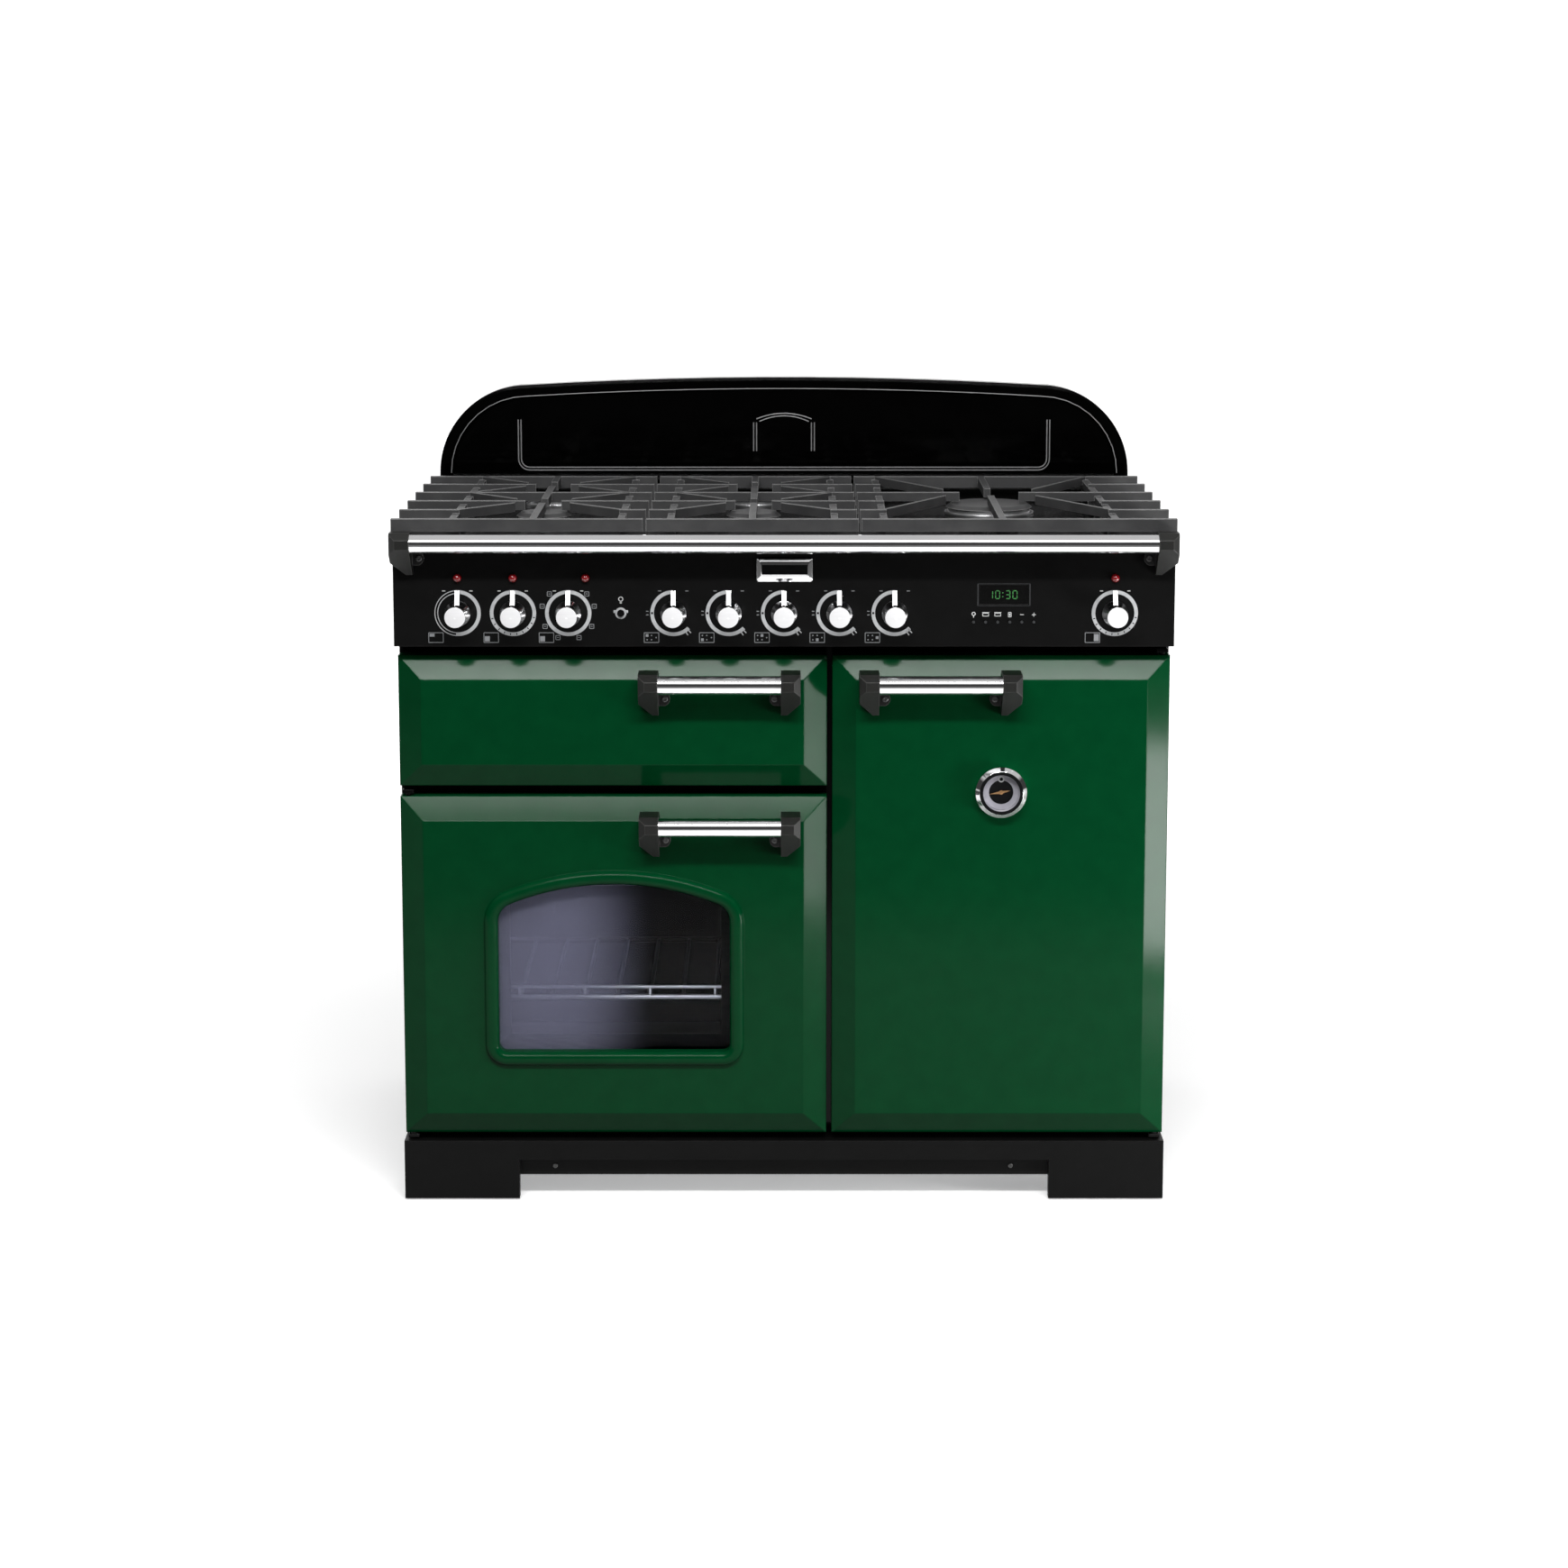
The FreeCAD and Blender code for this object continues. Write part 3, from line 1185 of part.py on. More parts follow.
# Control panel: panel, knobs, lenses, buttons, clock and switches
def make_panel():
    """A folded tray with holes for shafts, lenses, buttons and the clock."""
    inner_x = inset(sides, gauge)
    outside = block("panel_outside", sides, (panel_y, frame_y), (panel_bottom, hob_under))
    hollow = block("panel_hollow", inner_x, (panel_y + gauge, frame_y + CUT_MARGIN),
                   (panel_bottom + gauge, hob_under - gauge))
    start = panel_y - CUT_MARGIN
    through = gauge + CUT_MARGIN * 2

    def holed(name, radius, x, z):
        return rod(name, "y", radius + d.running_gap, (x, start, z), through)

    holes = [holed(name + "_hole", d.shaft_radius, x, knob_z) for name, x in KNOB_X.items()]
    for number, x in enumerate(neon_x):
        holes.append(holed("neon_hole_%d" % number, d.neon_radius, x, neon_z))
    for number, x in enumerate(clock_button_x):
        holes.append(holed("clock_hole_%d" % number, d.clock_button_radius, x, clock_button_z))
    holes.append(holed("light_hole", d.light_radius, light_x, knob_z))
    window_x = around(clock_x, d.clock_width / 2)
    window_z = around(clock_z, d.clock_tall / 2)
    holes.append(block("clock_opening", window_x, (start, start + through), window_z))
    node("control_panel", cut("panel_folded", outside, [hollow] + holes))

    behind = panel_y + gauge
    case_back = behind + d.switch_depth
    lens_x, lens_z = inset(window_x, d.lens_room), inset(window_z, d.lens_room)
    lens = block("clock_lens", lens_x, (panel_y + d.lens_setback, case_back), lens_z)
    case_x = inset(window_x, -d.clock_border)
    case = block("clock_case", case_x, (behind, case_back), inset(window_z, -d.clock_border / 2))
    board_z = (clock_button_z - d.clock_border / 2, clock_z)
    board = block("clock_board", case_x, (behind + d.button_room, case_back), board_z)
    electrics = [fuse("clock_block", [lens, case, board])]
    for name in ("knob_grill", "knob_main_temperature", "knob_main_mode", "knob_tall_temperature"):
        x = KNOB_X[name]
        switch_x, switch_z = around(x, d.switch_half), around(knob_z, d.switch_half)
        body = block(name + "_switch", switch_x, (behind, case_back), switch_z)
        electrics.append(cut(name + "_switch_bored", body, [shaft_space(name + "_room", x)]))
    node("panel_electrics", group("electrics_group", electrics))


def shaft_space(name, x):
    """Room behind the panel for the end of a knob's shaft."""
    length = d.shaft_inner + d.end_room
    return rod(name, "y", d.shaft_radius + d.shaft_room, (x, panel_y, knob_z), length)


def knob(name, x):
    """A turned knob with a broad flat cap, a waist, a skirt, a shaft and a sloping pointer."""
    body = new_body(name + "_body", x, panel_y, knob_z)
    profile = sketch_in(body, name + "_profile", "XY_Plane")
    rise = d.knob_dome
    rim_front = rise - d.knob_proud
    dome = (d.knob_radius * d.knob_radius + rise * rise) / (rise * 2)
    skirt_edge = -(d.knob_gap + d.skirt_edge)
    draw(profile, [
        (0, d.shaft_inner), (d.shaft_radius, d.shaft_inner), (d.shaft_radius, -d.knob_gap),
        (d.skirt_radius, -d.knob_gap), (d.skirt_radius, skirt_edge),
        (d.waist_radius, skirt_edge - d.skirt_rise), (d.waist_radius, rim_front + d.cap_depth),
        (d.knob_radius, rim_front + d.cap_edge),
        (d.knob_radius, rim_front, -dome), (0, -d.knob_proud),
    ])
    turn(body, profile, "V_Axis")
    pointer = sketch_in(body, name + "_pointer", "YZ_Plane")
    behind = -d.pointer_gap
    draw(pointer, [
        (behind, d.shaft_radius), (behind, d.pointer_reach), (behind - d.pointer_tip, d.pointer_reach),
        (behind - d.pointer_root, d.shaft_radius),
    ])
    pad(body, pointer, d.pointer_width).Midplane = True
    node(name, body)


def make_panel_pieces():
    for name, x in KNOB_X.items():
        knob(name, x)
    lenses = []
    flange = d.neon_radius + d.neon_flange
    for number, x in enumerate(neon_x):
        body = new_body("neon_body_%d" % number, x, panel_y, neon_z)
        profile = sketch_in(body, "neon_profile_%d" % number, "XY_Plane")
        draw(profile, [
            (0, d.neon_depth), (flange, d.neon_depth), (flange, gauge), (d.neon_radius, gauge),
            (d.neon_radius, -d.neon_collar, -d.neon_radius), (0, -(d.neon_radius + d.neon_collar)),
        ])
        turn(body, profile, "V_Axis")
        lenses.append(body)
    node("neon_lenses", group("neon_group", lenses))
    for number, x in enumerate(clock_button_x, start=1):
        start = (x, panel_y - d.clock_button_proud, clock_button_z)
        length = d.clock_button_proud + gauge + d.button_tail
        button = rod("clock_pin_%d" % number, "y", d.clock_button_radius, start, length)
        node("clock_button_%d" % number, button)
    start = (light_x, panel_y - d.light_proud, knob_z)
    length = d.light_proud + gauge + d.light_tail
    node("light_button", rod("light_plunger", "y", d.light_radius, start, length))


# Gauge on the tall door
def make_gauge():
    proud = d.gauge_proud
    radius = d.gauge_radius
    inner = radius - d.bezel_width
    case = new_body("gauge_bezel_body", d.gauge_x, face_y, d.gauge_z)
    profile = sketch_in(case, "gauge_profile", "XY_Plane")
    slope = d.bezel_width / 2
    draw(profile, [
        (inner, 0), (radius, 0), (radius, slope - proud), (radius - slope, -proud),
        (inner + d.bezel_lip, -proud), (inner, d.dial_depth - d.bezel_lip - proud),
    ])
    turn(case, profile, "V_Axis")
    dial_y = face_y - proud + d.dial_depth
    dial_disc = rod("dial_disc", "y", inner, (d.gauge_x, dial_y, d.gauge_z), proud - d.dial_depth)
    needle_y = dial_y - d.needle_gap
    hole_start = (d.gauge_x, needle_y, d.gauge_z)
    hole_depth = d.needle_pin_length + d.end_room / 2
    dial_hole = rod("dial_hole", "y", d.needle_pin_radius + d.running_gap, hole_start, hole_depth)
    dial = cut("dial_plate", dial_disc, [dial_hole])
    node("gauge_case", group("gauge_group", [case, dial]))

    needle = new_body("needle_body")
    blade = sketch_in(needle, "needle_blade", "XZ_Plane")
    thin = d.needle_width / 2
    draw(blade, [(-d.needle_long, 0), (0, -thin), (d.needle_short, 0), (0, thin)])
    pad(needle, blade, d.needle_gauge)
    hub = sketch_in(needle, "needle_hub", "XZ_Plane")
    ring(hub, 0, 0, d.needle_hub_radius)
    pad(needle, hub, d.needle_gauge * 2)
    pin = sketch_in(needle, "needle_pin", "XZ_Plane")
    ring(pin, 0, 0, d.needle_pin_radius)
    pad(needle, pin, d.needle_pin_length, backwards=True)
    needle.Placement = Placement(Vector(), Rotation(Vector(0, 1, 0), -NEEDLE_TILT))
    place(needle, d.gauge_x, needle_y, d.gauge_z)
    node("gauge_needle", needle)


# Hob: tray, burners, pan supports, gas rail and splashback
BURNERS = {
    "left_front": (d.burner_left_x, front_burner_y, d.burner_radius),
    "left_rear": (d.burner_left_x, rear_burner_y, d.burner_radius),
    "centre_front": (d.burner_centre_x, front_burner_y, d.burner_radius),
    "centre_rear": (d.burner_centre_x, rear_burner_y, d.burner_radius),
    "right": (d.burner_right_x, middle_bar_y, d.wok_radius),
}


def make_hob():
    upstand_y = back_y - d.splash_depth
    upstand_x = inset(sides, d.upstand_inset)
    shelf_y = (upstand_y, back_y - d.splash_setback)
    shelf_z = (splash_bottom - gauge, splash_bottom)
    pressed = fuse("hob_pressed", [
        block("hob_deck", sides, (lip_y, back_y), (hob_under, hob_top)),
        block("hob_lip", sides, (lip_y, lip_y + gauge), (hob_under - d.lip_drop, hob_top)),
        block("hob_upstand", upstand_x, (upstand_y, upstand_y + gauge), (hob_under, splash_bottom)),
        block("hob_shelf", upstand_x, shelf_y, shelf_z),
    ])
    hole_radius = d.spigot_radius + d.shaft_room
    through = gauge + CUT_MARGIN * 2
    holes = [
        rod(name + "_spigot_hole", "z", hole_radius, (x, y, hob_under - CUT_MARGIN), through)
        for name, (x, y, _) in BURNERS.items()
    ]
    node("hob_tray", cut("hob_pierced", pressed, holes))

    heads = []
    caps = []
    spigot_low = hob_top - d.spigot_length
    head_top = hob_top + d.flange_gauge + d.crown_height
    for name, (x, y, radius) in BURNERS.items():
        crown_radius = radius - d.burner_step
        heads.append(fuse(name + "_head", [
            rod(name + "_spigot", "z", d.spigot_radius, (x, y, spigot_low), d.spigot_length),
            rod(name + "_flange", "z", radius, (x, y, hob_top), d.flange_gauge),
            rod(name + "_crown", "z", crown_radius, (x, y, hob_top + d.flange_gauge), d.crown_height),
        ]))
        cap = doc.addObject("Part::Cone", name + "_cap")
        bind(cap, "Radius1", crown_radius + d.cap_overhang)
        bind(cap, "Radius2", crown_radius - d.cap_overhang)
        bind(cap, "Height", d.cap_height)
        place(cap, x, y, head_top)
        caps.append(cap)
    node("burner_heads", group("head_group", heads))
    node("burner_caps", group("cap_group", caps))


def pan_support(name, x, middle, burners, left_leg, right_leg, open_radius):
    """A cast grid: front and rear bars, legs along both sides, and fingers towards each burner.
    A burner is given by its own line and the lines where its slanting fingers start."""
    half_bar = d.bar_width / 2
    low = grate_top - d.finger_height
    frame_low = grate_top - d.grate_frame
    finger_z = (low, grate_top)
    pieces = []

    def beam(label, span_x, span_y, span_z):
        pieces.append(block("%s_%s" % (name, label), span_x, span_y, span_z))

    def crossways(label, span_x, y, span_z):
        beam(label, span_x, around(y, half_bar), span_z)

    crossways("front_bar", x, front_bar_y, (frame_low, grate_top))
    crossways("rear_bar", x, rear_bar_y, (frame_low, grate_top))
    side_z = (frame_low, grate_top - d.grate_side_drop)
    depth = (front_bar_y, rear_bar_y)
    left_end, right_end = x[0] + left_leg, x[1] - right_leg
    beam("left_side", (left_end - d.bar_width, left_end), depth, side_z)
    beam("right_side", (right_end, right_end + d.bar_width), depth, side_z)
    for number, y in enumerate(grate_bar_y[1:], start=1):
        leg_z = (hob_top, grate_top)
        crossways("left_leg_%d" % number, (x[0], left_end), y, leg_z)
        crossways("right_leg_%d" % number, (right_end, x[1]), y, leg_z)

    slants = []
    left_start, right_start = left_end - half_bar, right_end + half_bar
    run_y = front_bar_y
    for number, (y, before_y, after_y) in enumerate(burners):
        crossways("left_finger_%d" % number, (left_start, middle - open_radius), y, finger_z)
        crossways("right_finger_%d" % number, (middle + open_radius, right_start), y, finger_z)
        beam("length_%d" % number, around(middle, half_bar), (run_y, y - open_radius), finger_z)
        run_y = y + open_radius
        if number:
            crossways("between_%d" % number, (left_start, right_start), before_y, finger_z)
        for bar_y, towards in ((before_y, -1), (after_y, 1)):
            end_y = y + open_radius * (SLANT_END_Y * towards)
            for start_x, side in ((left_start, -1), (right_start, 1)):
                end_x = middle + open_radius * (SLANT_END_X * side)
                corners = [
                    (start_x, bar_y - half_bar), (end_x, end_y - half_bar),
                    (end_x, end_y + half_bar), (start_x, bar_y + half_bar),
                ]
                slants.append(corners if side < 0 else corners[::-1])
    beam("length_rear", around(middle, half_bar), (run_y, rear_bar_y), finger_z)
    for number, corners in enumerate(slants):
        slant = plate("%s_slant_%d" % (name, number), [corners], low, d.finger_height, upright=False)
        pieces.append(slant)
    node(name, fuse(name + "_cast", pieces))


def make_pan_supports():
    gap = d.grate_gap / 2
    left = (-half, d.grate_split_left - gap)
    centre = (d.grate_split_left + gap, d.grate_split_right - gap)
    right = (d.grate_split_right + gap, half)
    outer, inner = d.grate_outer_leg, d.grate_inner_leg
    pair = (
        (front_burner_y, first_bar_y, middle_bar_y),
        (rear_burner_y, middle_bar_y, rear_bar_y),
    )
    single = ((middle_bar_y, first_bar_y, rear_bar_y),)
    pan_support("pan_support_left", left, d.burner_left_x, pair, outer, inner, d.burner_space)
    pan_support("pan_support_centre", centre, d.burner_centre_x, pair, inner, inner, d.burner_space)
    pan_support("pan_support_right", right, d.burner_right_x, single, inner, outer, d.wok_space)


def make_gas_rail():
    """A crosswise pipe with five taps behind the panel and a feed to an inlet at the back."""
    behind = panel_y + gauge
    rail_line = behind + d.tap_depth
    rail_start = hob_knob_x[0] - d.tap_half * 2
    inlet_back = back_y - d.inlet_setback
    inlet_start = inlet_back - d.inlet_length
    feed_length = inlet_start + d.pipe_radius - rail_line
    cross_length = inlet_x - rail_start
    elbow = [around(middle, d.elbow_half) for middle in (inlet_x, rail_line, inlet_z)]
    pipes = [
        rod("gas_cross_pipe", "x", d.pipe_radius, (rail_start, rail_line, inlet_z), cross_length),
        block("gas_elbow", *elbow),
        rod("gas_feed_pipe", "y", d.pipe_radius, (inlet_x, rail_line, inlet_z), feed_length),
        rod("gas_inlet", "y", d.inlet_radius, (inlet_x, inlet_start, inlet_z), d.inlet_length),
    ]
    tap_z = (knob_z - d.tap_half, inlet_z + d.pipe_radius / 2)
    rooms = []
    for number, x in enumerate(hob_knob_x):
        pipes.append(block("tap_%d" % number, around(x, d.tap_half), (behind, rail_line), tap_z))
        rooms.append(shaft_space("tap_room_%d" % number, x))
    thread_start = (inlet_x, inlet_back - d.thread_length, inlet_z)
    thread = rod("inlet_thread", "y", d.inlet_bore, thread_start, d.thread_length + CUT_MARGIN)
    node("gas_rail", cut("gas_assembly", fuse("gas_joined", pipes), rooms + [thread]))


def splash_outline(shrink, lift):
    """The front of the splashback, drawn in evenly and lifted at the bottom: upright sides, round
    corners and a gentle crown."""
    wide = d.splash_width / 2 - shrink
    side_z = splash_bottom + d.splash_side
    flat = d.splash_width / 2 - d.splash_corner
    radius = d.splash_corner - shrink
    crown = (flat * flat + d.splash_crown * d.splash_crown) / (d.splash_crown * 2)
    return [
        (-wide, splash_bottom + lift),
        (wide, splash_bottom + lift),
        (wide, side_z, radius),
        (flat, side_z + radius, crown),
        (-flat, side_z + radius, radius),
        (-wide, side_z),
    ]


def make_splashback():
    back = back_y - d.splash_setback
    front = back - d.splash_depth
    outside = plate("splash_outside", [splash_outline(0, 0)], front, d.splash_depth)
    recess_start = front - CUT_MARGIN
    recess_depth = d.splash_recess + CUT_MARGIN
    recess = plate("splash_face", [splash_outline(d.splash_rim, 0)], recess_start, recess_depth)
    hollow_start = front + d.splash_recess + gauge
    hollow_depth = d.splash_depth - d.splash_recess
    hollow = plate("splash_inside", [splash_outline(gauge, gauge)], hollow_start, hollow_depth)
    node("splashback", cut("splash_pressed", outside, [recess, hollow]))


make_cabinet()
make_plinth()
make_ovens()
make_grill_door()
make_main_door()
make_tall_door()
make_hinges_and_seals()
make_bars()
make_panel()
make_panel_pieces()
make_gauge()
make_hob()
make_pan_supports()
make_gas_rail()
make_splashback()
doc.recompute()

# Check every object before anything is written
for thing in doc.Objects:
    if "Invalid" in thing.State or "Error" in thing.State:
        raise SystemExit("%s failed: %s" % (thing.Name, thing.State))
for name, thing in nodes.items():
    if thing.Shape.isNull() or not thing.Shape.isValid() or not thing.Shape.Solids:
        raise SystemExit("%s has no valid shape" % name)

os.makedirs("parts", exist_ok=True)
for name, thing in nodes.items():
    thing.Shape.exportStep("parts/%s.step" % name)
print("%d sub-parts, %d solids" % (len(nodes), sum(len(thing.Shape.Solids) for thing in nodes.values())))
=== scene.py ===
# %% [markdown]
# # Dressing a range cooker
# The solid model already holds every panel, door, knob and casting at its real size. This lesson
# loads it, gives each surface a finish with its own grain and gloss, and adds the small things that
# are easier by hand than in CAD: printed dials, bare plates, screws, clock digits and pressed lines.
# Lengths are in metres, so a value in millimetres is multiplied by MM.

# %% Load the solid model
import json
import math

import bpy
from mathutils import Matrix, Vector

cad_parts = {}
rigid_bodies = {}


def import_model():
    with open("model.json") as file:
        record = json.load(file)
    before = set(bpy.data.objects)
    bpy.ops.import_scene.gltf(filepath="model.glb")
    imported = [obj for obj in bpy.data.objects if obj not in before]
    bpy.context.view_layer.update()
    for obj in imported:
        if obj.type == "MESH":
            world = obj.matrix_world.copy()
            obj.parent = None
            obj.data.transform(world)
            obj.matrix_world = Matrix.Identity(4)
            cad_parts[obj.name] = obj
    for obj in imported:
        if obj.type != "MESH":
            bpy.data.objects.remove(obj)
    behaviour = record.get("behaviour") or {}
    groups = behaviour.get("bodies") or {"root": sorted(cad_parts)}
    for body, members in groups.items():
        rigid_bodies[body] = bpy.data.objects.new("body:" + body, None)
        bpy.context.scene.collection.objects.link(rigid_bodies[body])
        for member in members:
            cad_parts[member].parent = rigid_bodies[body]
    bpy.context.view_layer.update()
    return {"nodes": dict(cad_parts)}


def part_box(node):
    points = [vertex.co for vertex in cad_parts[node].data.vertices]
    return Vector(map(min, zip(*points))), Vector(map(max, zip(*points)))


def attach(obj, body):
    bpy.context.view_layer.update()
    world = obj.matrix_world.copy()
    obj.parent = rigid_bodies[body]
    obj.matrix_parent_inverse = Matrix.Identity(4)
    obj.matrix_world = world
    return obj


for leftover in list(bpy.data.objects):
    bpy.data.objects.remove(leftover)
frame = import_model()
nodes = frame["nodes"]
MM = 0.001
print("solid nodes:", len(nodes))

# %% [markdown]
# ## Small habits for modelling by operator
# Operators act on whatever is selected, so each new piece starts from an empty selection and ends
# with its place applied into its mesh. The helpers below keep those habits in one place.


# %% Helpers for adding and finishing pieces
WELD = 1e-6
SMOOTH_ANGLE = math.radians(32)
SPIN_STEP = 5
SPIN_LEAST = 6


def clear_selection():
    """Nothing selected and nothing active, in object mode."""
    bpy.ops.object.select_all(action="DESELECT")
    bpy.context.view_layer.objects.active = None


def settle(piece, name, finish, body):
    """Apply a piece's place, name it, paint it and hang it on its body."""
    clear_selection()
    piece.select_set(True)
    bpy.context.view_layer.objects.active = piece
    bpy.ops.object.transform_apply(location=True, rotation=True, scale=True)
    bpy.ops.object.mode_set(mode="EDIT")
    bpy.ops.mesh.select_all(action="SELECT")
    bpy.ops.mesh.remove_doubles(threshold=WELD)
    bpy.ops.mesh.normals_make_consistent(inside=False)
    bpy.ops.object.mode_set(mode="OBJECT")
    bpy.ops.object.shade_smooth_by_angle(angle=SMOOTH_ANGLE)
    piece.name = name
    piece.data.name = name
    piece.data.materials.clear()
    piece.data.materials.append(finish)
    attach(piece, body)
    return piece


def join(pieces):
    """Several pieces become one object."""
    clear_selection()
    for piece in pieces:
        piece.select_set(True)
    bpy.context.view_layer.objects.active = pieces[0]
    if len(pieces) > 1:
        bpy.ops.object.join()
    return bpy.context.view_layer.objects.active


def soften(piece, width, segments=3):
    """Round a piece's sharp edges with a bevel that is applied at once."""
    clear_selection()
    piece.select_set(True)
    bpy.context.view_layer.objects.active = piece
    bpy.ops.object.transform_apply(location=True, rotation=True, scale=True)
    bevel = piece.modifiers.new("soft_edges", "BEVEL")
    bevel.width = width
    bevel.segments = segments
    bevel.limit_method = "ANGLE"
    bpy.ops.object.modifier_apply(modifier=bevel.name)
    return piece


def slab(middle, size, soft=0.0):
    """A small block with softened edges, such as a printed bar or a plate."""
    clear_selection()
    bpy.ops.mesh.primitive_cube_add(size=1, location=middle)
    piece = bpy.context.active_object
    piece.scale = size
    return soften(piece, soft) if soft else piece


def spun_band(middle, inner, outer, start, sweep, front, back):
    """A flat band about an axis along Y. Angles are in degrees, anticlockwise from 3 o'clock
    as seen from the front."""
    clear_selection()
    bpy.ops.mesh.primitive_plane_add(size=1, rotation=(0, 0, 0))
    piece = bpy.context.active_object
    piece.scale = (outer - inner, back - front, 1)
    piece.location = ((inner + outer) / 2, (front + back) / 2, 0)
    bpy.ops.object.transform_apply(location=True, rotation=True, scale=True)
    bpy.ops.object.mode_set(mode="EDIT")
    bpy.ops.mesh.select_all(action="SELECT")
    steps = max(int(abs(sweep) / SPIN_STEP), SPIN_LEAST)
    bpy.ops.mesh.spin(steps=steps, angle=math.radians(sweep), center=(0, 0, 0), axis=(0, 1, 0))
    bpy.ops.object.mode_set(mode="OBJECT")
    piece.rotation_euler = (0, -math.radians(start), 0)
    piece.location = middle
    bpy.ops.object.transform_apply(location=True, rotation=True, scale=True)
    return piece


def wire(points, radius, sides=3):
    """A thin round line through points: a vertex drawn out along them, then given a thickness."""
    clear_selection()
    bpy.ops.mesh.primitive_plane_add(size=1)
    piece = bpy.context.active_object
    bpy.ops.object.mode_set(mode="EDIT")
    bpy.ops.mesh.select_all(action="SELECT")
    bpy.ops.mesh.merge(type="CENTER")
    bpy.ops.transform.translate(value=points[0])
    for here, there in zip(points, points[1:]):
        step = Vector(there) - Vector(here)
        bpy.ops.mesh.extrude_vertices_move(TRANSFORM_OT_translate={"value": step})
    bpy.ops.object.mode_set(mode="OBJECT")
    bpy.ops.object.convert(target="CURVE")
    piece = bpy.context.active_object
    piece.data.bevel_depth = radius
    piece.data.bevel_resolution = sides
    piece.data.use_fill_caps = True
    bpy.ops.object.convert(target="MESH")
    return bpy.context.active_object


def copies_at(piece, places):
    """A piece and its copies, one at each offset, each with its own mesh."""
    made = []
    for place in places:
        clear_selection()
        piece.select_set(True)
        bpy.context.view_layer.objects.active = piece
        bpy.ops.object.duplicate(linked=False)
        twin = bpy.context.active_object
        twin.location = Vector(place)
        made.append(twin)
    bpy.data.objects.remove(piece)
    return made


# %% [markdown]
# ## Shader maths that reads like maths
# A material is a graph of nodes. Wrapping a socket in a small class lets a line such as
# `0.2 + 0.1 * grain` build its Math nodes by itself, so that each finish stays short.


# %% Socket wrapper and finish builder
class Signal:
    """One output socket; arithmetic on it adds Math nodes."""

    def __init__(self, finish, socket):
        self.finish = finish
        self.socket = socket

    def math(self, operation, first, second):
        """Add a Math node that works on two signals or numbers."""
        made = self.finish.node("ShaderNodeMath", {"operation": operation}, {0: first, 1: second})
        return Signal(self.finish, made.outputs[0])

    def __add__(self, other):
        return self.math("ADD", self, other)

    def __sub__(self, other):
        return self.math("SUBTRACT", self, other)

    def __rsub__(self, other):
        return self.math("SUBTRACT", other, self)

    def __mul__(self, other):
        return self.math("MULTIPLY", self, other)

    __radd__ = __add__
    __rmul__ = __mul__


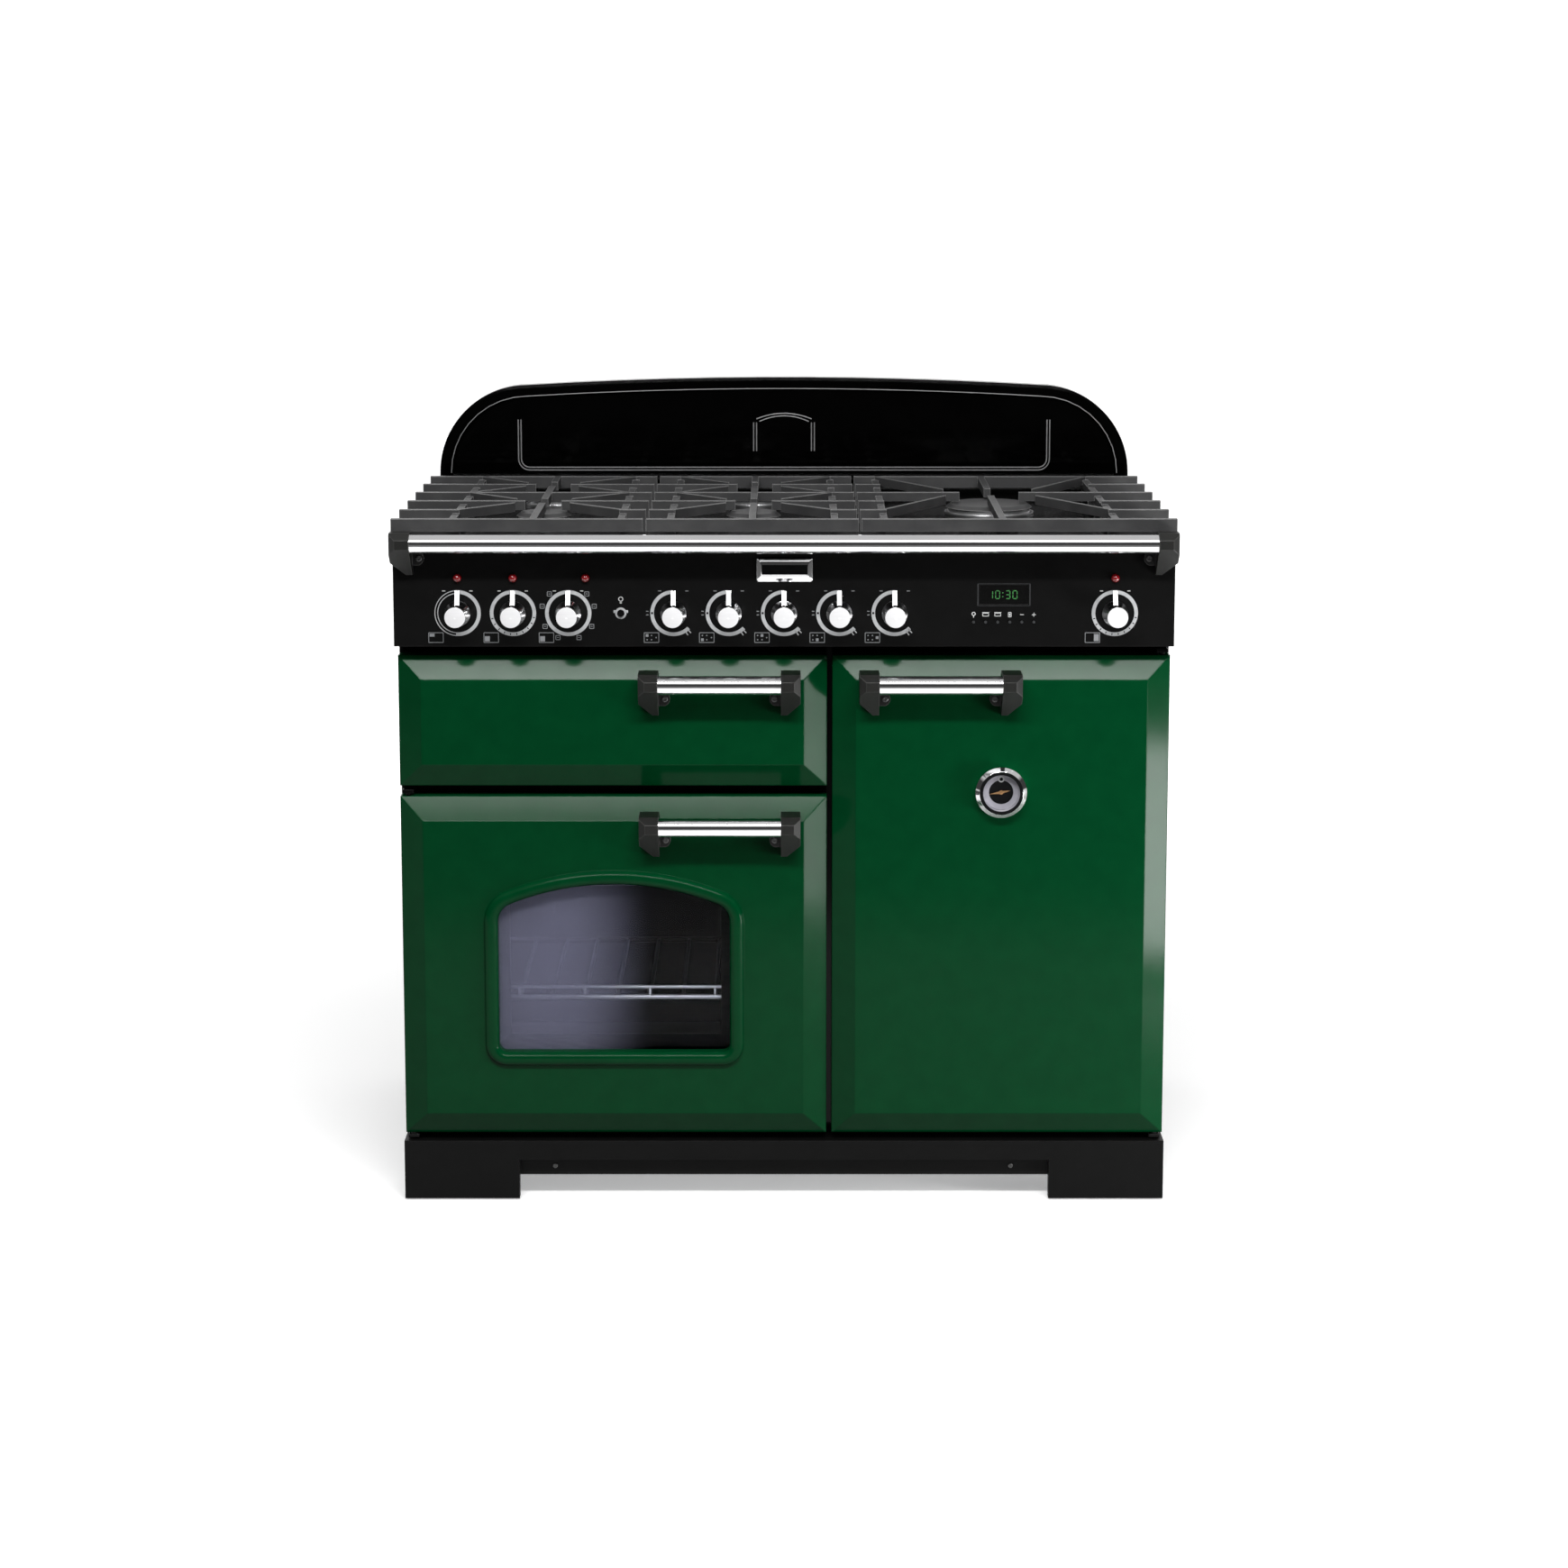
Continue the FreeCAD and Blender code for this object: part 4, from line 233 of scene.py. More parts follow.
class Finish:
    """A material with a Principled shader and methods that add nodes to it."""

    def __init__(self, name, **fixed):
        self.material = bpy.data.materials.new(name)
        self.material.use_nodes = True
        self.tree = self.material.node_tree
        self.shader = self.tree.nodes["Principled BSDF"]
        for socket, value in fixed.items():
            self.shader.inputs[socket.replace("_", " ")].default_value = value

    def node(self, kind, settings, sockets):
        """Add a node: settings first, then the values or links of its sockets."""
        made = self.tree.nodes.new(kind)
        for field, value in settings.items():
            if field == "stops":
                self.set_stops(made.color_ramp, value)
            else:
                setattr(made, field, value)
        for key, value in sockets.items():
            if isinstance(value, Signal):
                self.tree.links.new(value.socket, made.inputs[key])
            else:
                made.inputs[key].default_value = value
        return made

    def set_stops(self, ramp, stops):
        """Give a colour ramp its places and grey levels."""
        while len(ramp.elements) < len(stops):
            ramp.elements.new(1)
        for element, (place, shade) in zip(ramp.elements, stops):
            element.position = place
            element.color = (shade, shade, shade, 1)

    def place(self):
        """Object coordinates, in metres on every piece."""
        return Signal(self, self.node("ShaderNodeTexCoord", {}, {}).outputs["Object"])

    def noise(self, scale, detail=2.0, rough=0.5, stretch=None):
        """Soft random grain; the stretch squeezes it along an axis."""
        place = self.place()
        if stretch:
            squeezed = self.node("ShaderNodeMapping", {}, {"Vector": place, "Scale": stretch})
            place = Signal(self, squeezed.outputs[0])
        sockets = {"Vector": place, "Scale": scale, "Detail": detail, "Roughness": rough}
        return Signal(self, self.node("ShaderNodeTexNoise", {}, sockets).outputs[0])

    def band(self, signal, low, high):
        """A ramp from black at low to white at high."""
        made = self.node("ShaderNodeValToRGB", {"stops": ((low, 0.0), (high, 1.0))}, {0: signal})
        return Signal(self, made.outputs[0])

    def blend(self, share, first, second):
        """Mix two colours."""
        sockets = {0: share, 6: first, 7: second}
        made = self.node("ShaderNodeMix", {"data_type": "RGBA"}, sockets)
        return Signal(self, made.outputs[2])

    def along(self, axis, start, end, first, last):
        """A number that eases from first to last between two places on an axis."""
        place = self.node("ShaderNodeSeparateXYZ", {}, {0: self.place()}).outputs[axis]
        sockets = {0: Signal(self, place), 1: start, 2: end, 3: first, 4: last}
        made = self.node("ShaderNodeMapRange", {"interpolation_type": "SMOOTHSTEP"}, sockets)
        return Signal(self, made.outputs[0])

    def rounded(self, radius):
        """Normals that turn softly over sharp edges."""
        return Signal(self, self.node("ShaderNodeBevel", {"samples": 6}, {"Radius": radius}).outputs[0])

    def edges(self, radius):
        """White along sharp edges and black on flat faces."""
        face = Signal(self, self.node("ShaderNodeNewGeometry", {}, {}).outputs["Normal"])
        sockets = {0: self.rounded(radius), 1: face}
        made = self.node("ShaderNodeVectorMath", {"operation": "DOT_PRODUCT"}, sockets)
        likeness = Signal(self, made.outputs["Value"])
        return self.band(1 - likeness, 0.02, 0.14)

    def bump(self, height, strength, distance, radius):
        """Surface relief from a height signal, over edges rounded by a radius."""
        sockets = {"Height": height, "Strength": strength, "Distance": distance}
        sockets["Normal"] = self.rounded(radius)
        return Signal(self, self.node("ShaderNodeBump", {}, sockets).outputs[0])

    def feed(self, **signals):
        """Link signals to the Principled sockets."""
        for socket, signal in signals.items():
            self.tree.links.new(signal.socket, self.shader.inputs[socket.replace("_", " ")])
        return self.material


def shade(red, green, blue):
    """A colour written as 0 to 255 on screen, as the linear values that shaders use."""
    def linear(value):
        value = value / 255
        return value / 12.92 if value <= 0.04045 else ((value + 0.055) / 1.055) ** 2.4
    return (linear(red), linear(green), linear(blue), 1.0)


# %% [markdown]
# ## Enamels
# Vitreous enamel is glass fused to steel: deep colour, a hard gloss, a faint orange-peel ripple and
# slight pooling of the colour. A picture of enamel could be wrapped round each panel, but it would
# bring its own light with it and stretch at the corners. Noise in Object coordinates has one scale
# on every panel, so a single recipe serves the green doors and all the black parts.


# %% Enamels
POOL_SCALE = 34
SPECK_SCALE = 900
PEEL_SCALE = 240
PEEL_DEPTH = 0.4 * MM
HAZE_SCALE = 30
HAZE_SHARE = 0.06


def grey(level):
    """A neutral colour written as 0 to 255 on screen."""
    return shade(level, level, level)


def enamel(name, deep, light, gloss, ripple, shine, soft=1.5 * MM):
    """Fused glass colour with fine pooling, a gentle ripple, a hard gloss and soft edges."""
    finish = Finish(name, Specular_IOR_Level=shine)
    pooling = finish.band(finish.noise(POOL_SCALE, detail=4), 0.35, 0.7)
    speck = finish.band(finish.noise(SPECK_SCALE, detail=1), 0.62, 0.72)
    colour = finish.blend(pooling * 0.45 + speck * 0.2, deep, light)
    peel = finish.noise(PEEL_SCALE, detail=2)
    haze = finish.noise(HAZE_SCALE, detail=4)
    relief = finish.bump(peel, ripple, PEEL_DEPTH, soft)
    return finish.feed(Base_Color=colour, Roughness=gloss + haze * HAZE_SHARE, Normal=relief)


DOOR_GREENS = (shade(0, 56, 27), shade(2, 64, 32))
CAVITY_GREYS = (shade(13, 13, 15), shade(23, 23, 27))
green_enamel = enamel("green_enamel", *DOOR_GREENS, gloss=0.1, ripple=0.03, shine=0.06, soft=2.5 * MM)
black_enamel = enamel("black_enamel", grey(3), grey(6), gloss=0.1, ripple=0.03, shine=0.1)
splash_enamel = enamel("splash_enamel", grey(1), grey(3), gloss=0.06, ripple=0.02, shine=0.07, soft=8 * MM)
panel_enamel = enamel("panel_enamel", grey(12), grey(16), gloss=0.3, ripple=0.04, shine=0.1)
plinth_enamel = enamel("plinth_enamel", grey(11), grey(16), gloss=0.36, ripple=0.06, shine=0.08)
cavity_enamel = enamel("cavity_enamel", *CAVITY_GREYS, gloss=0.3, ripple=0.06, shine=0.2)
print("enamels:", green_enamel.name, black_enamel.name, panel_enamel.name)

# %% [markdown]
# ## Metals
# Chrome is nearly a mirror, broken only by fine wiping marks. Cast iron is dull and gritty, and its
# edges are painted pale, partly as wear where pans slide over them and partly as a painted highlight
# along each edge. Pale edges could be painted by hand on every casting. Here a Bevel node's soft
# normal is compared with the face's own normal, and where the two differ there is an edge, so the
# pale paint follows whatever shape the casting has.


# %% Plated, polished and cast metals
WIPE_SCALE = 420
WIPE_STRETCH = (0.08, 1, 1)
WIPE_STRENGTH = 0.006
WIPE_DEPTH = 0.2 * MM
SMEAR_SCALE = 12
SMEAR_SHADE = 0.86
PLATED_EDGE = 0.7 * MM
GRIT_SCALE = 1100
GRIT_DEPTH = 0.6 * MM
PATCH_SCALE = 22
CAST_EDGE = 1.4 * MM


def polished(name, colour, gloss, haze):
    """Plated or polished metal with fine wiping marks."""
    finish = Finish(name, Metallic=1.0)
    wipe = finish.noise(WIPE_SCALE, detail=4, stretch=WIPE_STRETCH)
    smear = finish.noise(SMEAR_SCALE, detail=3)
    dim = tuple(value * SMEAR_SHADE for value in colour) + (1.0,)
    tone = finish.blend(smear, dim, colour + (1.0,))
    relief = finish.bump(wipe, WIPE_STRENGTH, WIPE_DEPTH, PLATED_EDGE)
    return finish.feed(Base_Color=tone, Roughness=gloss + wipe * haze, Normal=relief)


def cast(name, deep, light, worn_and_highlit, gloss, grit_strength):
    """Sand-cast metal under a thin matt coat: gritty, its edges paler as wear and a painted highlight."""
    finish = Finish(name, Specular_IOR_Level=0.3)
    grit = finish.noise(GRIT_SCALE, detail=3, rough=0.7)
    patch = finish.band(finish.noise(PATCH_SCALE, detail=4), 0.4, 0.75)
    colour = finish.blend(patch * 0.6 + grit * 0.3, deep, light)
    # pale edges: partly real wear, partly a painted highlight along each edge
    colour = finish.blend(finish.edges(CAST_EDGE) * 0.8, colour, worn_and_highlit)
    relief = finish.bump(grit, grit_strength, GRIT_DEPTH, CAST_EDGE)
    return finish.feed(Base_Color=colour, Roughness=gloss + grit * 0.18, Normal=relief)


chrome = polished("chrome", (0.86, 0.86, 0.87), gloss=0.04, haze=0.06)
brushed_steel = polished("brushed_steel", (0.50, 0.50, 0.51), gloss=0.22, haze=0.25)
zinc_sheet = polished("zinc_sheet", (0.46, 0.47, 0.48), gloss=0.34, haze=0.2)
aluminium = polished("aluminium", (0.78, 0.78, 0.79), gloss=0.24, haze=0.2)
dark_screw = polished("dark_screw", (0.09, 0.09, 0.09), gloss=0.3, haze=0.2)
brass = polished("brass", (0.72, 0.50, 0.20), gloss=0.2, haze=0.2)
bronze = polished("bronze", (0.36, 0.21, 0.10), gloss=0.3, haze=0.2)
IRON_GREYS = (shade(46, 46, 47), grey(68), grey(150))
cast_iron = cast("cast_iron", *IRON_GREYS, gloss=0.4, grit_strength=0.3)
COAT_BLACKS = (shade(20, 20, 19), shade(28, 28, 26), shade(92, 92, 90))
black_casting = cast("black_casting", *COAT_BLACKS, gloss=0.34, grit_strength=0.15)
print("metals:", chrome.name, cast_iron.name, black_casting.name)

# %% [markdown]
# ## Platings with painted light that changes along a piece
# A knob's cap has a pale, nearly diffuse flat front, a painted highlight, and an oven shelf is
# painted nearly black towards the back, painted shade where the oven's light doesn't reach. Each
# could be split into two pieces with a finish each. One finish that eases between two looks along
# the depth keeps the solid node whole.


# %% Knob and shelf plating
CAP_BACK = -312.6 * MM
CAP_FRONT = -314.0 * MM
SHELF_BRIGHT = -190 * MM
SHELF_SHADED = -130 * MM


def knob_plating():
    """Bright plating, with a pale, nearly diffuse front on each knob's cap as a painted highlight."""
    finish = Finish("knob_plating")
    # painted highlight: the cap's flat front turns pale and nearly diffuse
    painted_highlight = finish.along(1, CAP_BACK, CAP_FRONT, 0.0, 1.0)
    wipe = finish.noise(WIPE_SCALE, detail=4, stretch=WIPE_STRETCH)
    tone = finish.blend(wipe, (0.80, 0.80, 0.81, 1), (0.90, 0.90, 0.91, 1))
    relief = finish.bump(wipe, WIPE_STRENGTH, WIPE_DEPTH, PLATED_EDGE)
    gloss = 0.06 + wipe * 0.08 + painted_highlight * 0.25
    return finish.feed(Base_Color=tone, Metallic=1 - painted_highlight * 0.85, Roughness=gloss, Normal=relief)


def shelf_plating():
    """Bright wire at the front of an oven, painted nearly black towards the back as painted shade."""
    finish = Finish("shelf_plating", Metallic=1.0)
    wipe = finish.noise(WIPE_SCALE, detail=4)
    tone = finish.blend(wipe, (0.84, 0.84, 0.85, 1), (0.94, 0.94, 0.95, 1))
    # painted shade: the wire darkens towards the back of the oven, where its light doesn't reach
    painted_shade = finish.along(1, SHELF_BRIGHT, SHELF_SHADED, 0.0, 1.0)
    tone = finish.blend(painted_shade, tone, (0.03, 0.028, 0.026, 1))
    return finish.feed(Base_Color=tone, Roughness=0.3 + wipe * 0.1)


knob_chrome = knob_plating()
shelf_wire = shelf_plating()
print("platings:", knob_chrome.name, shelf_wire.name)

# %% [markdown]
# ## Glass, rubber, plastics and printing ink
# The oven window is dark glass with a grey-blue sheen at its left side, a painted reflection of a
# bright wall beside it. A reflected card could give that sheen from one place only. A diffuse
# grey-blue layer mixed into the glass, strongest at the left, paints it from every side. Plastics,
# rubber and inks share one plain recipe.


# %% Glass, rubber, plastics and printing ink
SHEEN_FULL = -300 * MM
SHEEN_GONE = -170 * MM
SHEEN_SHARE = 0.24
GLOW_STRENGTH = 0.08


def plain(name, deep, light, gloss, **fixed):
    """A plastic, rubber or ink with a faint mottle."""
    finish = Finish(name, **fixed)
    mottle = finish.noise(160, detail=3)
    return finish.feed(Base_Color=finish.blend(mottle, deep, light), Roughness=gloss + mottle * 0.12)


def painted_sheen_glass():
    """Smoked glass with a painted grey-blue reflection that is strongest at its left side."""
    finish = Finish("smoked_glass", Transmission_Weight=1.0, IOR=1.1)
    streak = finish.noise(14, detail=4, stretch=(1, 1, 6))
    tint = finish.blend(streak, (0.78, 0.79, 0.82, 1), (0.86, 0.87, 0.90, 1))
    finish.feed(Base_Color=tint, Roughness=streak * 0.02)
    # painted reflection: a diffuse grey-blue layer mixed in, strongest at the left side
    painted_sheen = finish.along(0, SHEEN_FULL, SHEEN_GONE, SHEEN_SHARE, 0.0)
    sheen_settings = {"Base Color": shade(138, 139, 164), "Roughness": 0.4, "Specular IOR Level": 0.1}
    sheen_layer = finish.node("ShaderNodeBsdfPrincipled", {}, sheen_settings)
    layers = {0: painted_sheen, 1: Signal(finish, finish.shader.outputs[0]), 2: Signal(finish, sheen_layer.outputs[0])}
    mixed = finish.node("ShaderNodeMixShader", {}, layers)
    finish.tree.links.new(mixed.outputs[0], finish.tree.nodes["Material Output"].inputs["Surface"])
    return finish.material


def lit_digits():
    """Green light from the clock's segments, a little uneven along each one."""
    finish = Finish("lit_digits", Roughness=0.5, Emission_Strength=GLOW_STRENGTH)
    glow = finish.blend(finish.noise(500), (0.02, 0.14, 0.03, 1), (0.04, 0.22, 0.05, 1))
    return finish.feed(Base_Color=glow, Emission_Color=glow)


smoked_glass = painted_sheen_glass()
seal_rubber = plain("seal_rubber", grey(24), grey(34), gloss=0.6)
red_lens = plain("red_lens", shade(104, 8, 14), shade(132, 14, 20), gloss=0.08, Coat_Weight=0.6)
black_plastic = plain("black_plastic", grey(6), grey(10), gloss=0.16, Specular_IOR_Level=0.2)
white_ink = plain("white_ink", shade(196, 198, 198), shade(216, 217, 217), gloss=0.4)
grey_ink = plain("grey_ink", shade(120, 122, 124), shade(140, 142, 144), gloss=0.45)
dark_field = plain("dark_field", shade(8, 9, 10), shade(14, 15, 16), gloss=0.3, Specular_IOR_Level=0.1)
trim_and_highlight_grey = plain("trim_and_highlight_grey", shade(104, 104, 105), shade(132, 132, 133), gloss=0.3)
silver_ink = plain("silver_ink", shade(146, 148, 150), shade(190, 191, 192), gloss=0.36)
dial_silver = plain("dial_silver", shade(132, 131, 138), shade(158, 157, 166), gloss=0.4)
BUTTON_GREYS = (shade(48, 49, 50), shade(62, 63, 64))
button_grey = plain("button_grey", *BUTTON_GREYS, gloss=0.4, Specular_IOR_Level=0.1)
clock_green = lit_digits()
print("finishes in all:", len(bpy.data.materials))

# %% [markdown]
# ## Painting the solid nodes
# The solid nodes keep their shapes and only their material slots change. They could be painted one
# by one, but their names already say what they are, so a word in the name picks the finish.

# %% Finishes for the solid nodes
NODE_FINISH = {
    "door_skin": green_enamel, "door_inner": zinc_sheet, "handle_bar": chrome,
    "handle_brackets": black_casting, "rail_brackets": black_casting, "front_rail": chrome,
    "knob_": knob_chrome, "pan_support": cast_iron, "burner_heads": aluminium,
    "burner_caps": cast_iron, "control_panel": panel_enamel, "hob_tray": black_enamel,
    "splashback": splash_enamel, "outer_panels": black_enamel, "front_frame": black_enamel,
    "plinth": plinth_enamel, "levelling_feet": brushed_steel, "base_tray": zinc_sheet,
    "liner": cavity_enamel, "grill_pan": cavity_enamel, "oven_shelves": shelf_wire,
    "oven_fan": brushed_steel, "fan_motors": zinc_sheet, "heating_elements": brushed_steel,
    "door_hinges": black_enamel, "door_seals": seal_rubber, "door_glass": smoked_glass,
    "neon_lenses": red_lens, "panel_electrics": black_plastic, "gas_rail": brass,
    "clock_button": button_grey, "light_button": black_plastic, "gauge_case": chrome,
    "gauge_needle": bronze,
}
for name, piece in nodes.items():
    matches = [finish for word, finish in NODE_FINISH.items() if word in name]
    piece.data.materials.clear()
    piece.data.materials.append(matches[0])
print("painted:", len(nodes), "nodes")

# %% [markdown]
# ## Dials round the knobs
# Each knob turns over a silver ring printed on the panel. The oven rings go all the way round, and
# the grill's is hollow on its left half. The hob rings stop short at the lower right. A printed ring
# could be a pattern in the panel's material, but a thin band spun about the knob's axis has a crisp
# edge at any distance and moves with the panel when a size changes.

# %% Dial rings
PANEL_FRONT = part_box("control_panel")[0].y
PRINT = 0.25 * MM
RING_OUTER = 29.4 * MM
RING_INNER = 24.8 * MM
RING_LINE = 1.0 * MM
WHOLE_RING = [(0, 360, RING_INNER, RING_OUTER)]
HOB_RING = [(90, 225, RING_INNER, RING_OUTER)]
GRILL_RING = [
    (-95, 185, RING_INNER, RING_OUTER), (90, 175, RING_OUTER - RING_LINE, RING_OUTER),
    (90, 175, RING_INNER, RING_INNER + RING_LINE),
]
KNOBS = sorted(name for name in nodes if name.startswith("knob_"))


def knob_axis(name):
    """The middle of a knob's shaft on the face of the panel."""
    low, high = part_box(name)
    return Vector(((low.x + high.x) / 2, PANEL_FRONT, low.z + (high.x - low.x) / 2))


for name in KNOBS:
    shape = HOB_RING if "hob" in name else GRILL_RING if "grill" in name else WHOLE_RING
    bands = [
        spun_band(knob_axis(name), inner, outer, start, sweep, -2 * PRINT, 0)
        for start, sweep, inner, outer in shape
    ]
    settle(join(bands), "dial_ring_" + name[5:], silver_ink, "cabinet")
print("dial rings:", len(KNOBS))

# %% [markdown]
# ## Marks on and round the rings
# Two dashes flank the top of each dial. A hob ring also has a dark figure and a flame at its left
# and two lines across its end, and a temperature ring has a row of dark figures. They lie a little
# higher than the ring, so that no two printed faces share a plane and flicker.


# %% Marks on and round the rings
def radial_mark(axis, degrees, inner, outer, width, lift=PRINT):
    """A short printed line that points at a knob's axis."""
    angle = math.radians(degrees)
    middle = (inner + outer) / 2
    place = axis + Vector((middle * math.cos(angle), PRINT / 2 - lift, middle * math.sin(angle)))
    piece = slab(place, (outer - inner, PRINT, width))
    piece.rotation_euler = (0, -angle, 0)
    return piece


MARK_OUTER = RING_OUTER + 4.4 * MM
FLAME_INNER = RING_OUTER + 2.4 * MM
FLAME_OUTER = RING_OUTER + 5.4 * MM
FLAME_ANGLES = (176, 184)
END_ANGLES = (-49, -57)
HEAT_ANGLES = range(195, 350, 17)
FIGURE_INNER = RING_INNER + 1 * MM
FIGURE_OUTER = RING_OUTER - 1 * MM
OVER_RING = 3 * PRINT
DASH_SIDE = 17.3 * MM
DASH_RISE = 28.4 * MM
DASH_SIZE = (4 * MM, PRINT, 0.9 * MM)
for name in KNOBS:
    axis = knob_axis(name)
    dashes = [
        slab(axis + Vector((side, -PRINT / 2, DASH_RISE)), DASH_SIZE)
        for side in (-DASH_SIDE, DASH_SIDE)
    ]
    settle(join(dashes), "dial_dashes_" + name[5:], grey_ink if "hob" in name else white_ink, "cabinet")
    figures = []
    if "hob" in name:
        figures = [radial_mark(axis, 180, FIGURE_INNER, FIGURE_OUTER, 2.6 * MM, OVER_RING)]
        flame = [radial_mark(axis, angle, FLAME_INNER, FLAME_OUTER, 1.0 * MM) for angle in FLAME_ANGLES]
        settle(join(flame), "dial_flame_" + name[5:], grey_ink, "cabinet")
        ends = [
            radial_mark(axis, angle, RING_INNER + 2 * MM, MARK_OUTER, 1.2 * MM, 2 * PRINT)
            for angle in END_ANGLES
        ]
        settle(join(ends), "dial_end_" + name[5:], silver_ink, "cabinet")
    elif "temperature" in name:
        figures = [
            radial_mark(axis, angle, FIGURE_INNER, FIGURE_OUTER, 1.2 * MM, OVER_RING)
            for angle in HEAT_ANGLES
        ]
    if figures:
        settle(join(figures), "dial_figures_" + name[5:], dark_field, "cabinet")
print("marks on", len(KNOBS), "dials")

# %% [markdown]
# ## Position signs
# Below and to the left of each knob a small sign shows which oven or burner it works, and eight
# small squares stand round the mode knob. Each sign is a plain outline with its own place filled.
# They could be text in a symbol font, but thin bars need no font and stay a few faces each.

# %% Position signs
SIGN_SHIFT = Vector((-28 * MM, 0, -31.5 * MM))
SIGN_WIDE = 18.5 * MM
SIGN_TALL = 12.5 * MM
LINE = 0.7 * MM
FILLED = {
    "knob_grill": (-0.27, 0.25, 0.34, 0.3), "knob_main_temperature": (-0.27, -0.12, 0.34, 0.52),
    "knob_main_mode": (-0.27, -0.12, 0.34, 0.52), "knob_tall_temperature": (0.27, 0.0, 0.34, 0.72),
}
BURNER_SPOTS = ((-0.3, 0.22), (-0.3, -0.22), (0.0, 0.22), (0.0, -0.22), (0.32, 0.0))
CHOSEN_SPOT = 3.4 * MM
OTHER_SPOT = 1.5 * MM


def printed(places, finish, name):
    """Flat printed bars: each place is (x, z, width, height) on the panel."""
    bars = [slab((x, PANEL_FRONT - PRINT / 2, z), (wide, PRINT, tall)) for x, z, wide, tall in places]
    return settle(join(bars), name, finish, "cabinet")


def outline(x, z, wide, tall):
    """The four bars of a printed rectangle."""
    return [
        (x, z - tall / 2, wide, LINE), (x, z + tall / 2, wide, LINE),
        (x - wide / 2, z, LINE, tall), (x + wide / 2, z, LINE, tall),
    ]


def sign_bar(middle, across, up, wide, tall):
    """A filled place on a sign, at shares of the sign's width and height from its middle."""
    return (middle.x + across * SIGN_WIDE, middle.z + up * SIGN_TALL, wide, tall)


for name in KNOBS:
    middle = knob_axis(name) + SIGN_SHIFT
    bars = outline(middle.x, middle.z, SIGN_WIDE, SIGN_TALL)
    if name in FILLED:
        across, up, wide, tall = FILLED[name]
        bars.append(sign_bar(middle, across, up, wide * SIGN_WIDE, tall * SIGN_TALL))
    else:
        chosen = int(name[-1]) - 1
        for number, (across, up) in enumerate(BURNER_SPOTS):
            size = CHOSEN_SPOT if number == chosen else OTHER_SPOT
            bars.append(sign_bar(middle, across, up, size, size))
    printed(bars, grey_ink, "sign_" + name[5:])

MODE_SIGNS = (15, 46, 134, 165, 210, 247, 293, 330)
MODE_REACH = 34.2 * MM
MODE_SIZE = 5.4 * MM
mode = knob_axis("knob_main_mode")
bars = []
for degrees in MODE_SIGNS:
    angle = math.radians(degrees)
    x, z = mode.x + MODE_REACH * math.cos(angle), mode.z + MODE_REACH * math.sin(angle)
    bars += outline(x, z, MODE_SIZE, MODE_SIZE)
    bars.append((x, z, MODE_SIZE * 0.4, LINE))
printed(bars, grey_ink, "signs_main_mode")
print("signs:", len(KNOBS), "by the knobs and", len(MODE_SIGNS), "round the mode knob")

# %% [markdown]
# ## Clock digits
# The clock is a dark window with green segments behind it. A text object would bring a font's
# shapes, while a real display is built from seven bars, so a table says where each bar of a digit
# lies and which bars are lit for a figure. The colon is two small squares.

# %% Clock digits and window
BUTTONS = [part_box("clock_button_%d" % number) for number in range(1, 7)]
button_x = [(low.x + high.x) / 2 for low, high in BUTTONS]
button_z = (BUTTONS[0][0].z + BUTTONS[0][1].z) / 2
clock_x = sum(button_x) / len(button_x)
clock_z = button_z + 35 * MM
WINDOW_WIDE = 66 * MM
WINDOW_TALL = 28 * MM
DIGIT_Y = PANEL_FRONT + 0.25 * MM
DIGIT_WIDE = 5.2 * MM
DIGIT_TALL = 10 * MM
DIGIT_EDGE = 0.1 * MM
DIGIT_PLACES = (-17 * MM, -8 * MM, 5 * MM, 14 * MM)
COLON_SHIFT = -1.5 * MM
COLON_RISE = 2.4 * MM
COLON_SIZE = 1.3 * MM
SEGMENT = 1.1 * MM
SEGMENTS = {
    "top": (0, 1, 1, 0), "middle": (0, 0, 1, 0), "bottom": (0, -1, 1, 0),
    "upper_left": (-1, 0.5, 0, 1), "upper_right": (1, 0.5, 0, 1),
    "lower_left": (-1, -0.5, 0, 1), "lower_right": (1, -0.5, 0, 1),
}
LIT = {
    "0": "top bottom upper_left upper_right lower_left lower_right",
    "1": "upper_right lower_right",
    "3": "top middle bottom upper_right lower_right",
}


def segment(x, name):
    """One lit bar of a digit."""
    right, up, flat, upright = SEGMENTS[name]
    middle = (x + right * DIGIT_WIDE / 2, DIGIT_Y, clock_z + up * DIGIT_TALL / 2)
    wide = SEGMENT + flat * (DIGIT_WIDE - 2 * SEGMENT)
    tall = SEGMENT + upright * (DIGIT_TALL / 2 - 2 * SEGMENT)
    return slab(middle, (wide, PRINT, tall), DIGIT_EDGE)


digits = []
for shift, figure in zip(DIGIT_PLACES, "1030"):
    digits += [segment(clock_x + shift, name) for name in LIT[figure].split()]
for rise in (-COLON_RISE, COLON_RISE):
    dot = (clock_x + COLON_SHIFT, DIGIT_Y, clock_z + rise)
    digits.append(slab(dot, (COLON_SIZE, PRINT, COLON_SIZE), DIGIT_EDGE))
print("lit bars:", len(digits))
settle(join(digits), "clock_digits", clock_green, "cabinet")
window = outline(clock_x, clock_z, WINDOW_WIDE, WINDOW_TALL)
printed([(x, z, wide + LINE, tall) for x, z, wide, tall in window], button_grey, "clock_border")

# %% [markdown]
# ## Signs of the clock and the light
# Six small buttons sit under six signs: a bell, two pots, a timer, minus and plus. The light button
# has a bulb above it and a bright collar with two ears. All are bars and spun bands again, which
# keeps every mark on the panel equally thick.

